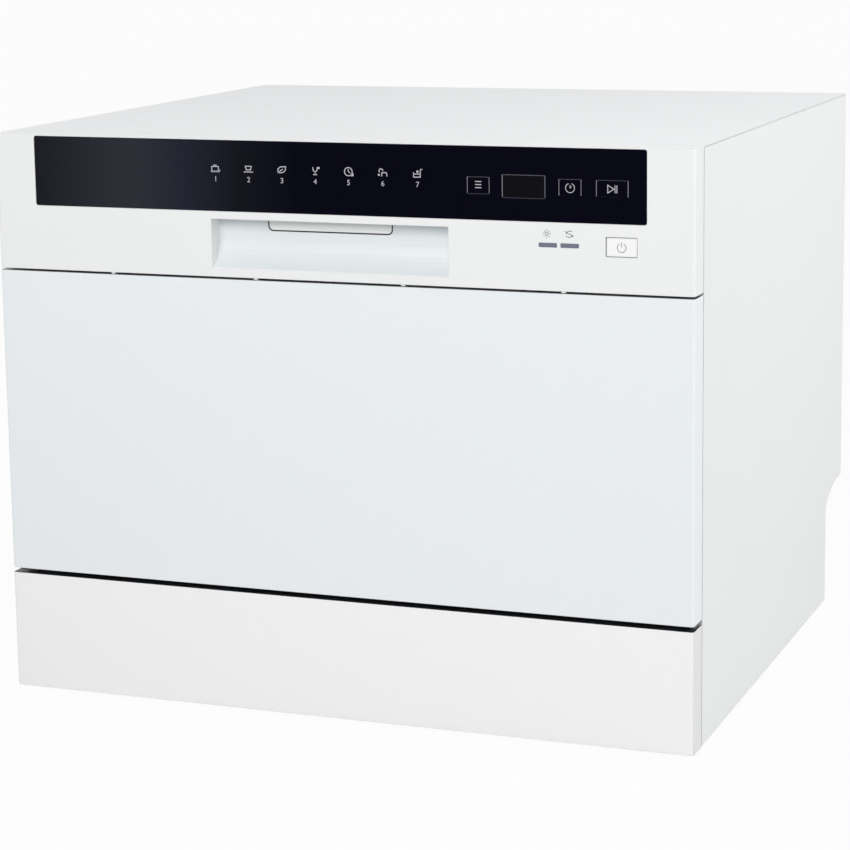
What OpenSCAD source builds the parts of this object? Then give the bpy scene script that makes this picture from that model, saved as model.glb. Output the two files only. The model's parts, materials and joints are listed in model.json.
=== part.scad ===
// Countertop dishwasher for six place settings, with a drop-down front door.
// X is the width, the door faces -Y, Z is up, and Z = 0 is the worktop.

/* [Cabinet] */
// Width over the side panels
body_w = 550; // [530:1:600]
// Depth from the door's face to the rear edge
body_d = 500; // [490:1:560]
// Height from the worktop to the top cover
body_h = 438; // [430:1:480]
// Thickness of the painted sheet panels
sheet_t = 1; // [0.8:0.1:1.4]
// Height of the rubber feet below the base pan
foot_h = 5; // [4:0.5:8]
// Height of the outer panels' lower edge above the worktop
edge_low = 2; // [1:0.5:3.5]
// Radius of the rubber feet
foot_r = 16; // [12:1:20]
// Depth of the recess for the hoses at the rear
recess_d = 61; // [45:1:70]
// Height of the recess roof
recess_h = 101; // [96:1:110]
// Radius of the curve in the recess roof
recess_r = 91; // [80:1:105]
// Wall of the moulded base pan
pan_wall = 3; // [2:0.5:4]

/* [Door] */
// Depth of the door's side return
door_t = 22; // [21:0.5:26]
// Radius of the upright front edges
edge_r = 2.5; // [2:0.5:4]
// Gap between the door's return and the cabinet
body_gap = 1.5; // [1.2:0.1:2.5]
// Height of the door's lower edge
door_low = 97.3; // [96:0.1:104]
// Gap between the kick plate and the door
kick_gap = 3.8; // [3.4:0.1:5]
// Height of the control panel
panel_h = 103.3; // [98:0.1:112]
// Gap between the control panel and the door panel
seam = 1.5; // [1:0.1:2.5]
// Wall of the moulded control panel
panel_wall = 2.5; // [2:0.1:3]
// Distance of the hinge pin behind the door's face
pin_in = 7; // [7:0.1:8]
// Distance of the hinge pin above the door's lower edge
pin_up = 5.7; // [5.5:0.1:6.5]
// Radius of the hinge pins
pin_r = 2; // [1.5:0.1:2.5]
// Depth of the pressed field in the inner door
dish_d = 6; // [3:0.5:7]
// Sheet of the inner door
liner_t = 0.8; // [0.6:0.1:1]

/* [Handle pocket] */
// Width of the pocket
pocket_w = 187.5; // [150:0.5:220]
// Height of the pocket
pocket_h = 37; // [34:0.5:42]
// Depth of the pocket
pocket_d = 14; // [12:0.5:15]
// Distance of the pocket's roof below the top
pocket_drop = 60; // [57:0.5:62]
// Width of the release lever
lever_w = 97.5; // [70:0.5:120]
// Height of the lever that shows in the pocket
lever_h = 8.6; // [7:0.2:10]

/* [Panel] */
// Height of the black overlay
overlay_h = 52.5; // [48:0.5:54]
// Margin of the overlay at the left, right and top
overlay_margin = [33.5, 35, 1.5];
// Thickness of the overlay
overlay_t = 1; // [0.8:0.1:1.2]
// Width of the display window
display_w = 31.4; // [26:0.2:36]
// Height of the display window
display_h = 16; // [12:0.5:20]
// Height of the black buttons
key_h = 11; // [9:0.5:14]
// Travel of the buttons
key_travel = 0.7; // [0.4:0.1:0.7]
// Clearance round a button
key_gap = 0.3; // [0.2:0.05:0.4]

/* [Tub] */
// Space between the tub and the cabinet's sides
tub_gap = 40; // [37:0.5:44]
// Height of the tub's tray floor
tray_z = 108; // [106:0.5:110]
// Height of the wheel ledges
ledge_z = 118; // [117.5:0.1:118]
// Space between the tub's roof and the cabinet's top
roof_gap = 35; // [30:0.5:42]
// Distance from the rear edge of the cabinet to the tub's rear wall
tub_back = 50; // [40:1:60]
// Sheet of the tub
tub_t = 1; // [0.8:0.1:1.2]
// Depth of the door seal
seal_d = 6; // [5:0.5:7]
// Width of the door seal
seal_w = 8; // [6:0.5:8]

/* [Rack] */
// Space between the rack and the tub's sides
rack_gap = 13; // [12:0.5:18]
// Space between the rack and the tub's rear wall
rack_back = 28; // [24:1:44]
// Height of the rack's top rim
rim_z = 232; // [225:1:245]
// Radius of the frame wires
frame_r = 2.5; // [2.2:0.1:2.8]
// Radius of the basket wires
wire_r = 1.9; // [1.6:0.1:2]
// Spacing of the cross wires
wire_pitch = 25; // [22:1:30]
// Height of the plate tines above the floor wires
tine_h = 62; // [45:1:70]
// Radius of the rack wheels
wheel_r = 11.5; // [10:0.5:11.5]
// Width of the rack wheels
wheel_w = 8; // [6:0.5:9]
// Size of the cutlery basket
basket = [96, 160, 96];
// Wall of the cutlery basket
basket_t = 2.2; // [1.8:0.1:2.6]

/* [Washing parts] */
// Space between the spray arm's tip and the tub's side
arm_gap = 53; // [51:1:75]
// Radius of the opening over the sump
sump_r = 58; // [50:1:60]
// Radius of the filter cup
cup_r = 30; // [26:1:32]
// Radius of the water inlet's stub, for a three-quarter inch thread
inlet_r = 13.22; // [13:0.01:13.4]
// Radius of the drain spigot
drain_r = 9.5; // [8:0.5:11]
// Radius of the hole through the cable gland
gland_bore = 3.6; // [3:0.1:4.5]

/* [Hidden] */

// Clearances and helpers
fit = 0.3;
cut = 0.5;
$fn = 48;
xs = body_w / 2;
yf = -body_d / 2;
yr = body_d / 2;
yd = yf + door_t;
yc = yd + body_gap;
top_gap = 0.8;
kick_top = door_low - kick_gap;
split_z = body_h - panel_h;
inner_x = xs - sheet_t;
recess_y = yr - recess_d;
pin_y = yf + pin_in;
pin_z = door_low + pin_up;
tub_front = yd + fit + seal_d;
tub_rear = yr - tub_back;
tub_x = xs - tub_gap;
roof_z = body_h - roof_gap;
tub_corner = 16;
seam_x = tub_x - tub_corner;
ledge_in = tub_x - 45;
face_back = 0.2;
panel_y = yf + face_back;
panel_in = panel_y + panel_wall;
overlay_y = panel_y + 0.1;

function arc(c, r, a0, a1, n) = [for (i = [0:n])
    let (a = a0 + (a1 - a0) * i / n) [c[0] + r * cos(a), c[1] + r * sin(a)]];
function rounded(lo, hi, r, n = 6) = concat(
    arc([hi[0] - r, hi[1] - r], r, 0, 90, n), arc([lo[0] + r, hi[1] - r], r, 90, 180, n),
    arc([lo[0] + r, lo[1] + r], r, 180, 270, n), arc([hi[0] - r, lo[1] + r], r, 270, 360, n));
function mid(a, b) = (a + b) / 2;

module block(lo, hi) translate(lo) cube(hi - lo);
module along_x(x0, x1) translate([x0, 0, 0]) rotate([90, 0, 90]) linear_extrude(x1 - x0) children();
module along_y(y0, y1) translate([0, y1, 0]) rotate([90, 0, 0]) linear_extrude(y1 - y0) children();
module along_z(z0, z1) translate([0, 0, z0]) linear_extrude(z1 - z0) children();
module rod_x(x0, x1, y, z, r) translate([x0, y, z]) rotate([0, 90, 0]) cylinder(h = x1 - x0, r = r);
module rod_y(y0, y1, x, z, r) translate([x, y1, z]) rotate([90, 0, 0]) cylinder(h = y1 - y0, r = r);
module rod_z(z0, z1, x, y, r) translate([x, y, z0]) cylinder(h = z1 - z0, r = r);
module both_sides() {
    children();
    mirror([1, 0, 0]) children();
}
// A straight wire with eight sides, flat at the top and bottom where it lies level
module wire(p, q, r) {
    d = q - p;
    len = norm(d);
    turn = atan2(d[1], d[0]);
    tilt = acos(d[2] / len);
    translate(p) rotate([0, tilt, turn]) rotate(22.5) cylinder(h = len, r = r, $fn = 8);
}
// Plan outline of a front shell that wraps both sides, from its rear edge forward
function plan_outer(y_front, y_rear, r) = concat([[-xs, y_rear]],
    arc([-xs + r, y_front + r], r, 180, 270, 6), arc([xs - r, y_front + r], r, 270, 360, 6),
    [[xs, y_rear]]);
function plan_shell(y_front, y_rear, r, t) = concat(plan_outer(y_front, y_rear, r),
    [[xs - t, y_rear]],
    [for (p = arc([xs - r, y_front + r], max(r - t, 0.2), 360, 270, 6)) [p[0], max(p[1], y_front + t)]],
    [for (p = arc([-xs + r, y_front + r], max(r - t, 0.2), 270, 180, 6)) [p[0], max(p[1], y_front + t)]],
    [[-xs + t, y_rear]]);

// Cabinet

skirt_h = 14;
module top_cover() color("whitesmoke") {
    block([-xs, yd + top_gap, body_h - sheet_t], [xs, yr, body_h]);
    skirt_x = inner_x - sheet_t - 2 * fit;
    both_sides() block([skirt_x - sheet_t, yc + 12, body_h - skirt_h], [skirt_x, yr - 6, body_h - sheet_t]);
    block([-skirt_x + fit, yc + 6.5, body_h - skirt_h], [skirt_x - fit, yc + 7.5, body_h - sheet_t]);
}

// Side view of the recess, moved into the cabinet by g
recess_c = [yr - 10, recess_h - recess_r];
function recess_edge(g) = let (y0 = recess_y - g, r = recess_r + g,
    a0 = acos((y0 - recess_c[0]) / r)) arc(recess_c, r, a0, 90, 10);
corner_r = 4;
module side_outline() {
    top = body_h - sheet_t - fit;
    polygon(concat([[yc, edge_low], [recess_y, edge_low]], recess_edge(0),
        arc([yr - corner_r, recess_h + corner_r], corner_r, 270, 360, 4), [[yr, top], [yc, top]]));
}
flange_w = 8;
rear_flange = 12;
rear_y = yr - 2.6;
module side_panel() {
    top = body_h - sheet_t - fit;
    along_x(inner_x, xs) side_outline();
    block([inner_x - flange_w, yc, edge_low], [inner_x + sheet_t / 2, yc + sheet_t, top - 2]);
    block([inner_x - rear_flange, rear_y - 2.3, recess_h + 8],
        [inner_x + sheet_t / 2, rear_y - 1.3, top - 2]);
}
module side_panel_right() color("whitesmoke") side_panel();
module side_panel_left() color("whitesmoke") mirror([1, 0, 0]) side_panel();

swage = [54, 40, 36];
slot_pitch = 9;
module rear_panel() color("gainsboro") {
    x1 = inner_x - fit;
    z0 = recess_h + 2 + fit;
    z1 = body_h - sheet_t - fit;
    lo = [-x1 + swage[0], z0 + swage[1]];
    hi = [x1 - swage[0], z1 - swage[2]];
    difference() {
        union() {
            along_y(rear_y - sheet_t - fit, rear_y - fit) polygon([[-x1, z0], [x1, z0], [x1, z1], [-x1, z1]]);
            along_y(rear_y - sheet_t, rear_y + sheet_t) polygon(rounded(lo, hi, 14));
        }
        along_y(rear_y - sheet_t - cut, rear_y)
            polygon(rounded(lo + [sheet_t, sheet_t], hi - [sheet_t, sheet_t], 13));
        for (s = [-1, 1], i = [0:6])
            along_y(rear_y - 4, rear_y + 4)
                polygon(rounded([s * 120 - 35, z1 - 130 + slot_pitch * i],
                    [s * 120 + 35, z1 - 126 + slot_pitch * i], 1.9, 2));
    }
}

pan_x = inner_x - fit;
pan_front = tub_front - 2.5;
pan_rear = recess_y - 2 - fit;
pan_side_h = 60;
pan_floor = foot_h + pan_wall;
rib_h = 5;
rib_pitch = 60;
rib_n = floor((ledge_in - 8) / rib_pitch);
rest_z = pan_floor + rib_h + fit;
post_x = [ledge_in + 6, ledge_in + 22];
foot_x = xs - 40;
foot_y = [yf + 55, recess_y - 39];
stem_r = 4.1;
module base_pan() color("dimgray") difference() {
    union() {
        difference() {
            block([-pan_x, pan_front, foot_h], [pan_x, pan_rear, pan_side_h]);
            block([-pan_x + pan_wall, pan_front + pan_wall, pan_floor],
                [pan_x - pan_wall, pan_rear - pan_wall, pan_side_h + 1]);
            block([-pan_x + 40, pan_rear - pan_wall - 1, 20], [pan_x - 40, pan_rear + 1, pan_side_h + 1]);
        }
        block([-pan_x, pan_front, foot_h], [pan_x, pan_front + pan_wall - 0.5, door_low - 1]);
        both_sides() {
            block([bracket_x - 12, pan_front + 32, foot_h + 1], [bracket_x + 2, pan_front + 66, pan_side_h]);
            for (y = [pan_front + 40, pan_rear - 50])
                block([post_x[0], y, foot_h + 1], [post_x[1], y + 28, ledge_z - tub_t - fit]);
            for (y = foot_y)
                rod_z(foot_h + 1, foot_h + 14, foot_x, y, 9);
        }
        for (x = [-rib_n * rib_pitch:rib_pitch:rib_n * rib_pitch])
            block([x - 1, pan_front + 1, foot_h + 1], [x + 1, pan_rear - 1, pan_floor + rib_h]);
    }
    both_sides() for (y = foot_y)
        rod_z(foot_h - 1, foot_h + 15, foot_x, y, stem_r + 0.2);
}
module rubber_feet() color("black") both_sides() for (y = foot_y) {
    rod_z(0, foot_h, foot_x, y, foot_r);
    rod_z(foot_h - 1, foot_h + 10, foot_x, y, stem_r);
}

connect_t = 2;
inlet_at = [150, 50];
drain_at = [88, 44];
gland_at = [-190, 46];
module connection_panel() color("whitesmoke") difference() {
    union() {
        along_x(-pan_x, pan_x) polygon(concat(
            [[recess_y, pan_floor - 2],
                [recess_y, recess_c[1] + recess_r * sin(acos((recess_y - recess_c[0]) / recess_r))]],
            recess_edge(0), [[rear_y - fit, recess_h], [rear_y - fit, recess_h + connect_t]],
            [for (i = [10:-1:0]) recess_edge(connect_t)[i]],
            [[recess_y - connect_t, pan_floor - 2]]));
        for (p = [inlet_at, drain_at, gland_at])
            rod_y(recess_y - connect_t, recess_y + 2, p[0], p[1], 20);
    }
    rod_y(recess_y - 5, recess_y + 5, inlet_at[0], inlet_at[1], inlet_r + fit);
    rod_y(recess_y - 5, recess_y + 5, drain_at[0], drain_at[1], drain_r + fit);
    rod_y(recess_y - 5, recess_y + 5, gland_at[0], gland_at[1], gland_bore + 4);
}

kick_t = 1.2;
module kick_plate() color("whitesmoke") {
    along_z(edge_low, kick_top) polygon(plan_shell(yf, yd, edge_r, kick_t));
    for (z = [edge_low, kick_top - kick_t])
        along_z(z, z + kick_t) difference() {
            polygon(plan_outer(yf, yf + 10, edge_r));
        }
    for (x = [-200, -70, 70, 200])
        block([x - 9, yf + kick_t / 2, 40], [x + 9, pan_front, 43]);
}

// Tub, seals, strike and hinges

// Front view of the tub's walls and roof, and of its floor from seam to seam, grown by g
function wall_points(g) = concat(
    arc([seam_x, ledge_z + tub_corner], tub_corner + g, 270, 360, 8),
    arc([seam_x, roof_z - tub_corner], tub_corner + g, 0, 90, 8),
    arc([-seam_x, roof_z - tub_corner], tub_corner + g, 90, 180, 8),
    arc([-seam_x, ledge_z + tub_corner], tub_corner + g, 180, 270, 8));
function floor_points(g) = concat([[-ledge_in - g, ledge_z - g]],
    arc([-ledge_in + 6, tray_z + 6], 6 + g, 180, 270, 4),
    arc([ledge_in - 6, tray_z + 6], 6 + g, 270, 360, 4), [[ledge_in + g, ledge_z - g]]);
function backwards(list) = [for (i = [len(list) - 1:-1:0]) list[i]];
sump_at = [78, -10];
post_at = [0, -10];
salt_at = [-120, -60];
float_at = [-ledge_in + 24, tub_front + 71.7];
neck_r = 25;
float_stem = 3.5;
post_r = 12;
frame_x = inner_x - fit;
notch_z = 130;
bracket_x = frame_x - 12;
module tub() color("silver") {
    along_y(tub_front + tub_t / 2, tub_rear + tub_t)
        polygon(concat(wall_points(tub_t), backwards(wall_points(0))));
    along_y(tub_rear, tub_rear + tub_t) polygon(concat(wall_points(tub_t / 2), floor_points(tub_t / 2)));
    difference() {
        along_y(tub_front, tub_front + tub_t)
            polygon([[-bracket_x + 1, door_low + 2], [bracket_x - 1, door_low + 2],
            [bracket_x - 1, notch_z], [frame_x, notch_z], [frame_x, body_h - sheet_t - 2 * fit],
            [-frame_x, body_h - sheet_t - 2 * fit], [-frame_x, notch_z], [-bracket_x + 1, notch_z]]);
        along_y(tub_front - 1, tub_front + tub_t + 1) polygon(wall_points(0));
        block([-seam_x, tub_front - 1, door_low], [seam_x, tub_front + tub_t + 1, ledge_z + 1]);
    }
}
// The floor is one pressing with the sill below the door opening
module tub_floor() color("silver") difference() {
    union() {
        along_y(tub_front + tub_t, tub_rear)
            polygon(concat([[-seam_x, ledge_z], [-seam_x, ledge_z - tub_t]], floor_points(tub_t),
                [[seam_x, ledge_z - tub_t], [seam_x, ledge_z]], backwards(floor_points(0))));
        block([-seam_x, tub_front, door_low + 2], [seam_x, tub_front + tub_t, ledge_z]);
    }
    rod_z(tray_z - 5, tray_z + 5, sump_at[0], sump_at[1], sump_r);
    rod_z(tray_z - 5, tray_z + 5, post_at[0], post_at[1], post_r + fit);
    rod_z(tray_z - 5, tray_z + 5, salt_at[0], salt_at[1], neck_r + fit);
    rod_z(tray_z - 5, tray_z + 5, float_at[0], float_at[1], float_stem + 0.8);
}

seal_x = tub_x + 4;
seal_low = ledge_z - 13;
module door_seals() color("dimgray") {
    along_y(yd + fit, tub_front) difference() {
        polygon(concat([[seal_x + seal_w, seal_low]], arc([seal_x + seal_w - 30,
            roof_z + 5 + seal_w - 30], 30, 0, 90, 6),
            arc([-seal_x - seal_w + 30, roof_z + 5 + seal_w - 30], 30, 90, 180, 6),
                [[-seal_x - seal_w, seal_low]]));
        polygon(concat([[seal_x, seal_low - 1]], arc([seal_x - 24, roof_z + 5 - 24], 24, 0, 90, 6),
            arc([-seal_x + 24, roof_z + 5 - 24], 24, 90, 180, 6), [[-seal_x, seal_low - 1]]));
    }
    along_x(-seal_x + fit, seal_x - fit) polygon([[tub_front, seal_low], [tub_front, seal_low + 12],
        [tub_front - 2, seal_low + 12], [yd + fit, seal_low + 6], [yd + fit, seal_low + 1],
            [tub_front - 2, seal_low]]);
}

lever_x = -5.25;
latch_z = body_h - 24;
tongue_z = latch_z + 5;
module door_strike() color("silver") {
    lo = latch_z + 2.6;
    block([lever_x - 17, tub_front - 1.5, lo], [lever_x + 17, tub_front, lo + 16]);
    difference() {
        block([lever_x - 11, yd - 10, tongue_z], [lever_x + 11, tub_front - 1, tongue_z + 2]);
        block([lever_x - 5, yd - 6.6, tongue_z - 1], [lever_x + 5, yd - 1.2, tongue_z + 3]);
    }
}

arm_t = 2.5;
eye_r = 4.4;
module hinge_bracket() difference() {
    union() {
        rod_x(bracket_x, bracket_x + arm_t, pin_y, pin_z, eye_r);
        along_x(bracket_x, bracket_x + arm_t) polygon([[pin_y, pin_z - eye_r], [tub_front + 3, pin_z - eye_r],
            [tub_front + 30, pan_side_h], [tub_front + 62, pan_side_h], [tub_front + 62, pan_side_h + 22],
            [tub_front + 14, pin_z + 16], [tub_front + 3, pin_z + 5], [pin_y, pin_z + eye_r]]);
        block([bracket_x - 10, tub_front + 32, pan_side_h],
            [bracket_x + 0.5, tub_front + 60, pan_side_h + 2.5]);
    }
    rod_x(bracket_x - 1, bracket_x + arm_t + 1, pin_y, pin_z, pin_r + 0.02);
    rod_z(pan_side_h - 1, pan_side_h + 4, bracket_x - 5, tub_front + 46, 2.2);
}
module hinge_brackets() color("silver") both_sides() hinge_bracket();
module hinge_pins() color("gray") both_sides() {
    rod_x(bracket_x - arm_t - fit - 1.2, bracket_x + arm_t + 0.2, pin_y, pin_z, pin_r);
    rod_x(bracket_x + arm_t + 0.1, bracket_x + arm_t + 1.4, pin_y, pin_z, pin_r + 1.6);
}
// Moving hinge arms, screwed to the inner door
hinge_in = bracket_x - fit;
module hinge_arm() difference() {
    y1 = yd - liner_t - fit;
    union() {
        rod_x(hinge_in - arm_t, hinge_in, pin_y, pin_z, eye_r);
        along_x(hinge_in - arm_t, hinge_in)
            polygon([[pin_y - eye_r, pin_z], [pin_y - 1, pin_z - eye_r], [pin_y + 3.2, pin_z - 3],
            [y1 - 3, pin_z + 9], [y1 - 0.6, pin_z + 30], [y1 - 0.6, pin_z + 122],
            [y1 - 6, pin_z + 126], [pin_y - 2, pin_z + 30]]);
        block([hinge_in - 18, y1 - 1.6, pin_z + 32], [hinge_in - 0.5, y1, pin_z + 121]);
    }
    rod_x(hinge_in - arm_t - 1, hinge_in + 1, pin_y, pin_z, pin_r + 0.05);
    for (z = hinge_screw_z)
        rod_y(y1 - 4, y1 + 1, hinge_screw_x, z, 1.7);
}
hinge_screw_z = [pin_z + 48, pin_z + 104];
hinge_screw_x = hinge_in - 10;
module hinge_arms() color("silver") both_sides() hinge_arm();

// Parts under the tub

sump_low = 44;
wall_s = 2.5;
module sump() color("gray") difference() {
    union() {
        translate([sump_at[0], sump_at[1], 0]) rotate_extrude()
            polygon([[0, sump_low], [32, sump_low], [44, 72], [sump_r - 1, 92],
            [sump_r - 1, tray_z - tub_t - 4], [sump_r + 4, tray_z - tub_t - 4],
                [sump_r + 4, tray_z - tub_t - fit],
            [sump_r - 4, tray_z - tub_t - fit],
            [sump_r - 4, 93], [44 - wall_s, 73.5], [32 - wall_s, sump_low + wall_s], [0, sump_low + wall_s]]);
        rod_x(sump_at[0] + 34, sump_at[0] + 60, sump_at[1], pump_z, 15);
    }
    rod_x(sump_at[0] + 20, sump_at[0] + 61, sump_at[1], pump_z, 12.5);
}
pump_z = 58;
pump_x = sump_at[0] + 60 + fit;
module circulation_pump() color("dimgray") {
    y = sump_at[1];
    rod_x(pump_x, pump_x + 30, y, pump_z, 38);
    rod_x(pump_x + 29, pump_x + 96, y, pump_z, 31);
    rod_x(pump_x + 95, pump_x + 104, y, pump_z, 12);
    block([pump_x + 34, y - 22, rest_z], [pump_x + 90, y + 22, pump_z - 20]);
    rod_y(y, y + 48, pump_x + 15, pump_z + 24, 11);
}
heat_y = sump_at[1] + 48 + fit;
heat_r = 21;
valve_y = recess_y - 60;
heat_end = valve_y - 2 * fit;
module water_heater() color("silver") {
    x = pump_x + 15;
    z = pump_z + 24 - 8;
    rod_y(heat_y, heat_y + 4, x, z, heat_r);
    rod_y(heat_y + 3, heat_end - 3, x, z, heat_r - 2);
    rod_y(heat_end - 4, heat_end, x, z, heat_r);
    rod_x(x - heat_r - 12, x - 4, heat_end - 18, z, 8);
    block([x - 14, heat_y + 20, rest_z], [x + 14, heat_y + 26, z - 8]);
}
module spray_post() color("gray") difference() {
    union() {
        rod_z(tray_z - tub_t - 5, tray_z - tub_t - fit, post_at[0], post_at[1], 14.5);
        rod_z(tray_z - tub_t - 4, tray_z + 11, post_at[0], post_at[1], post_r);
        rod_z(tray_z + 10, arm_z + 12, post_at[0], post_at[1], 7);
    }
    rod_z(tray_z - 20, arm_z + 13, post_at[0], post_at[1], 5);
}
module drain_pump() color("dimgray") {
    y = sump_at[1] - 45;
    rod_y(y - 16, y, sump_at[0], 50, 20);
    rod_y(y - 62, y - 15, sump_at[0], 50, 24);
    block([sump_at[0] - 14, y - 56, pan_floor], [sump_at[0] + 14, y - 20, 40]);
}
soft_lo = [-pan_x + 81.7, -110];
soft_hi = [-84, 60, 96];
module water_softener() color("whitesmoke") {
    difference() {
        union() {
            along_z(rest_z, soft_hi[2]) polygon(rounded(soft_lo, [soft_hi[0], soft_hi[1]], 14));
            rod_z(soft_hi[2] - 1, tray_z + 2, salt_at[0], salt_at[1], neck_r);
        }
        rod_z(30, tray_z + 3, salt_at[0], salt_at[1], neck_r - 4);
    }
    difference() {
        rod_z(tray_z + 0.2, tray_z + 2.2, salt_at[0], salt_at[1], neck_r + 6);
        rod_z(tray_z, tray_z + 3, salt_at[0], salt_at[1], neck_r - 2);
    }
}
module salt_cap() color("darkgray") {
    z = tray_z + 2.2 + fit;
    rod_z(z, z + 6, salt_at[0], salt_at[1], neck_r + 4);
    rod_z(z - 9, z + 1, salt_at[0], salt_at[1], neck_r - 4.6);
    block([salt_at[0] - 21, salt_at[1] - 3, z + 5], [salt_at[0] + 21, salt_at[1] + 3, z + 9]);
}
module float_switch() color("black") difference() {
    block([float_at[0] - 14, float_at[1] - 12, tray_z - tub_t - fit - 22],
        [float_at[0] + 14, float_at[1] + 12, tray_z - tub_t - fit]);
    rod_z(tray_z - tub_t - 21, tray_z, float_at[0], float_at[1], float_stem + 0.8);
}
module float() color("gray") {
    rod_z(tray_z + fit, tray_z + 9, float_at[0], float_at[1], 17);
    translate([float_at[0], float_at[1], tray_z + 8.5]) rotate_extrude()
        polygon(concat([[0, 0]], arc([0, 0], 16, 0, 90, 6)));
    rod_z(tray_z - 14, tray_z + 5, float_at[0], float_at[1], float_stem);
}
filter_z = tray_z + 0.2;
module flat_filter() color("silver") difference() {
    rod_z(filter_z, filter_z + 1, sump_at[0], sump_at[1], sump_r + 8);
    rod_z(filter_z - 1, filter_z + 2, sump_at[0], sump_at[1], cup_r + 1.2);
    for (ring = [0:2], k = [0:23 + 5 * ring]) {
        a = k * 360 / (24 + 5 * ring);
        r = cup_r + 8 + 6 * ring;
        translate([sump_at[0] + r * cos(a), sump_at[1] + r * sin(a), filter_z - 1])
            cylinder(h = 3, r = 1.7, $fn = 6);
    }
}
module filter_cup() color("gray") {
    z = filter_z + 1 + fit;
    difference() {
        union() {
            rod_z(sump_low + 14, z + 2, sump_at[0], sump_at[1], cup_r);
            rod_z(z, z + 2.4, sump_at[0], sump_at[1], cup_r + 5);
        }
        rod_z(sump_low + 16, z + 5, sump_at[0], sump_at[1], cup_r - 2);
        for (k = [0:11], level = [0:1]) {
            a = k * 30;
            translate([sump_at[0], sump_at[1], 64 + 19 * level]) rotate(a) translate([cup_r - 4, -4, 0])
                cube([8, 8, 14]);
        }
    }
    difference() {
        along_x(sump_at[0] - 2, sump_at[0] + 2)
            polygon([[sump_at[1] - cup_r + 1, z], [sump_at[1] + cup_r - 1, z],
            [sump_at[1] + 14, z + 8], [sump_at[1] - 14, z + 8]]);
        along_x(sump_at[0] - 3, sump_at[0] + 3)
            polygon([[sump_at[1] - cup_r + 6, z - 1], [sump_at[1] + cup_r - 6, z - 1],
            [sump_at[1] + 11, z + 5], [sump_at[1] - 11, z + 5]]);
    }
}

arm_z = tray_z + 15;
arm_reach = tub_x - arm_gap;
// Plan outline of one blade, from the hub to its round tip
function blade(r0, r1, reach) = concat([[0, -r0]], arc([reach - r1, 0], r1, -80, 80, 6), [[0, r0]]);
module spray_arm() color("silver") translate([post_at[0], post_at[1], 0]) difference() {
    union() {
        for (s = [0, 180]) rotate(s + 14) {
            along_z(arm_z, arm_z + 6) polygon(blade(17, 11, arm_reach));
            along_z(arm_z + 5.5, arm_z + 8.5) polygon(blade(13, 7.5, arm_reach - 4));
        }
        rod_z(arm_z - 2, arm_z + 11, 0, 0, 20);
        rod_z(arm_z + 10.5, arm_z + 14.5, 0, 0, 13);
    }
    rod_z(arm_z - 3, arm_z + 12.5, 0, 0, 7.06);
    for (s = [0, 180], i = [0:4]) rotate(s + 14)
        translate([40 + i * (arm_reach - 57) / 4, (i % 2) * 3 - 1, arm_z + 4])
        cylinder(h = 6, r = 2, $fn = 8);
}

air_t = tub_gap - sheet_t - tub_t - 14;
air_lo = [-150, 140];
air_hi = [tub_rear - 90, roof_z - 28];
module air_break() color("whitesmoke") mirror([1, 0, 0]) difference() {
    x = tub_x + tub_t;
    cell = (air_hi[0] - air_lo[0] - 32) / 3;
    along_x(x, x + air_t) polygon(rounded(air_lo, air_hi, 16, 3));
    for (i = [0:2])
        along_x(x + air_t - 4, x + air_t + 2) polygon(rounded(air_lo + [20 + cell * i, 20],
            [air_lo[0] + 12 + cell * (i + 1), air_hi[1] - 20], 10, 3));
}
board_at = [-pan_x + pan_wall + 14.7, pan_front + 72];
board_lid = [54, 98];
module power_board() color("seagreen") {
    translate([board_at[0], board_at[1], pan_floor]) {
        cube([board_lid[0], board_lid[1], 26]);
        translate([6, 8, 25]) cube([board_lid[0] - 12, board_lid[1] - 18, 9]);
    }
}

// Connections in the recess
module inlet_valve() color("white") {
    y0 = recess_y + 2 + fit;
    rod_y(recess_y - 26, y0 + 19, inlet_at[0], inlet_at[1], inlet_r);
    rod_y(y0, y0 + 3, inlet_at[0], inlet_at[1], 18);
    rod_y(valve_y, recess_y - 25, inlet_at[0], inlet_at[1], 15);
    block([inlet_at[0] - 16, valve_y + 4, inlet_at[1] + 8],
        [inlet_at[0] + 16, recess_y - 28, inlet_at[1] + 36]);
}
module drain_spigot() color("dimgray") difference() {
    y0 = recess_y + 2 + fit;
    union() {
        rod_y(recess_y - 22, y0 + 30, drain_at[0], drain_at[1], drain_r);
        rod_y(y0, y0 + 3, drain_at[0], drain_at[1], drain_r + 5);
    }
    rod_y(recess_y - 23, y0 + 31, drain_at[0], drain_at[1], drain_r - 2.5);
}
module cable_gland() color("black") difference() {
    y0 = recess_y + 2 + fit;
    union() {
        rod_y(recess_y - 12, y0 + 6, gland_at[0], gland_at[1], gland_bore + 3.8);
        rod_y(y0, y0 + 6, gland_at[0], gland_at[1], gland_bore + 7);
    }
    rod_y(recess_y - 13, y0 + 7, gland_at[0], gland_at[1], gland_bore);
}

rear_screw = [for (s = [-1, 1], z = [recess_h + 20, mid(recess_h, body_h),
    body_h - 22]) [s * (inner_x - 6.5), z]];
module cabinet_screws() color("gray") {
    for (p = rear_screw) {
        rod_y(rear_y - fit, rear_y + 1.6, p[0], p[1], 3.4);
    }
    both_sides() rod_z(pan_side_h + 2.5, pan_side_h + 4.2, bracket_x - 5, tub_front + 46, 3.6);
}

// Rack, wheels, shelf and basket

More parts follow.
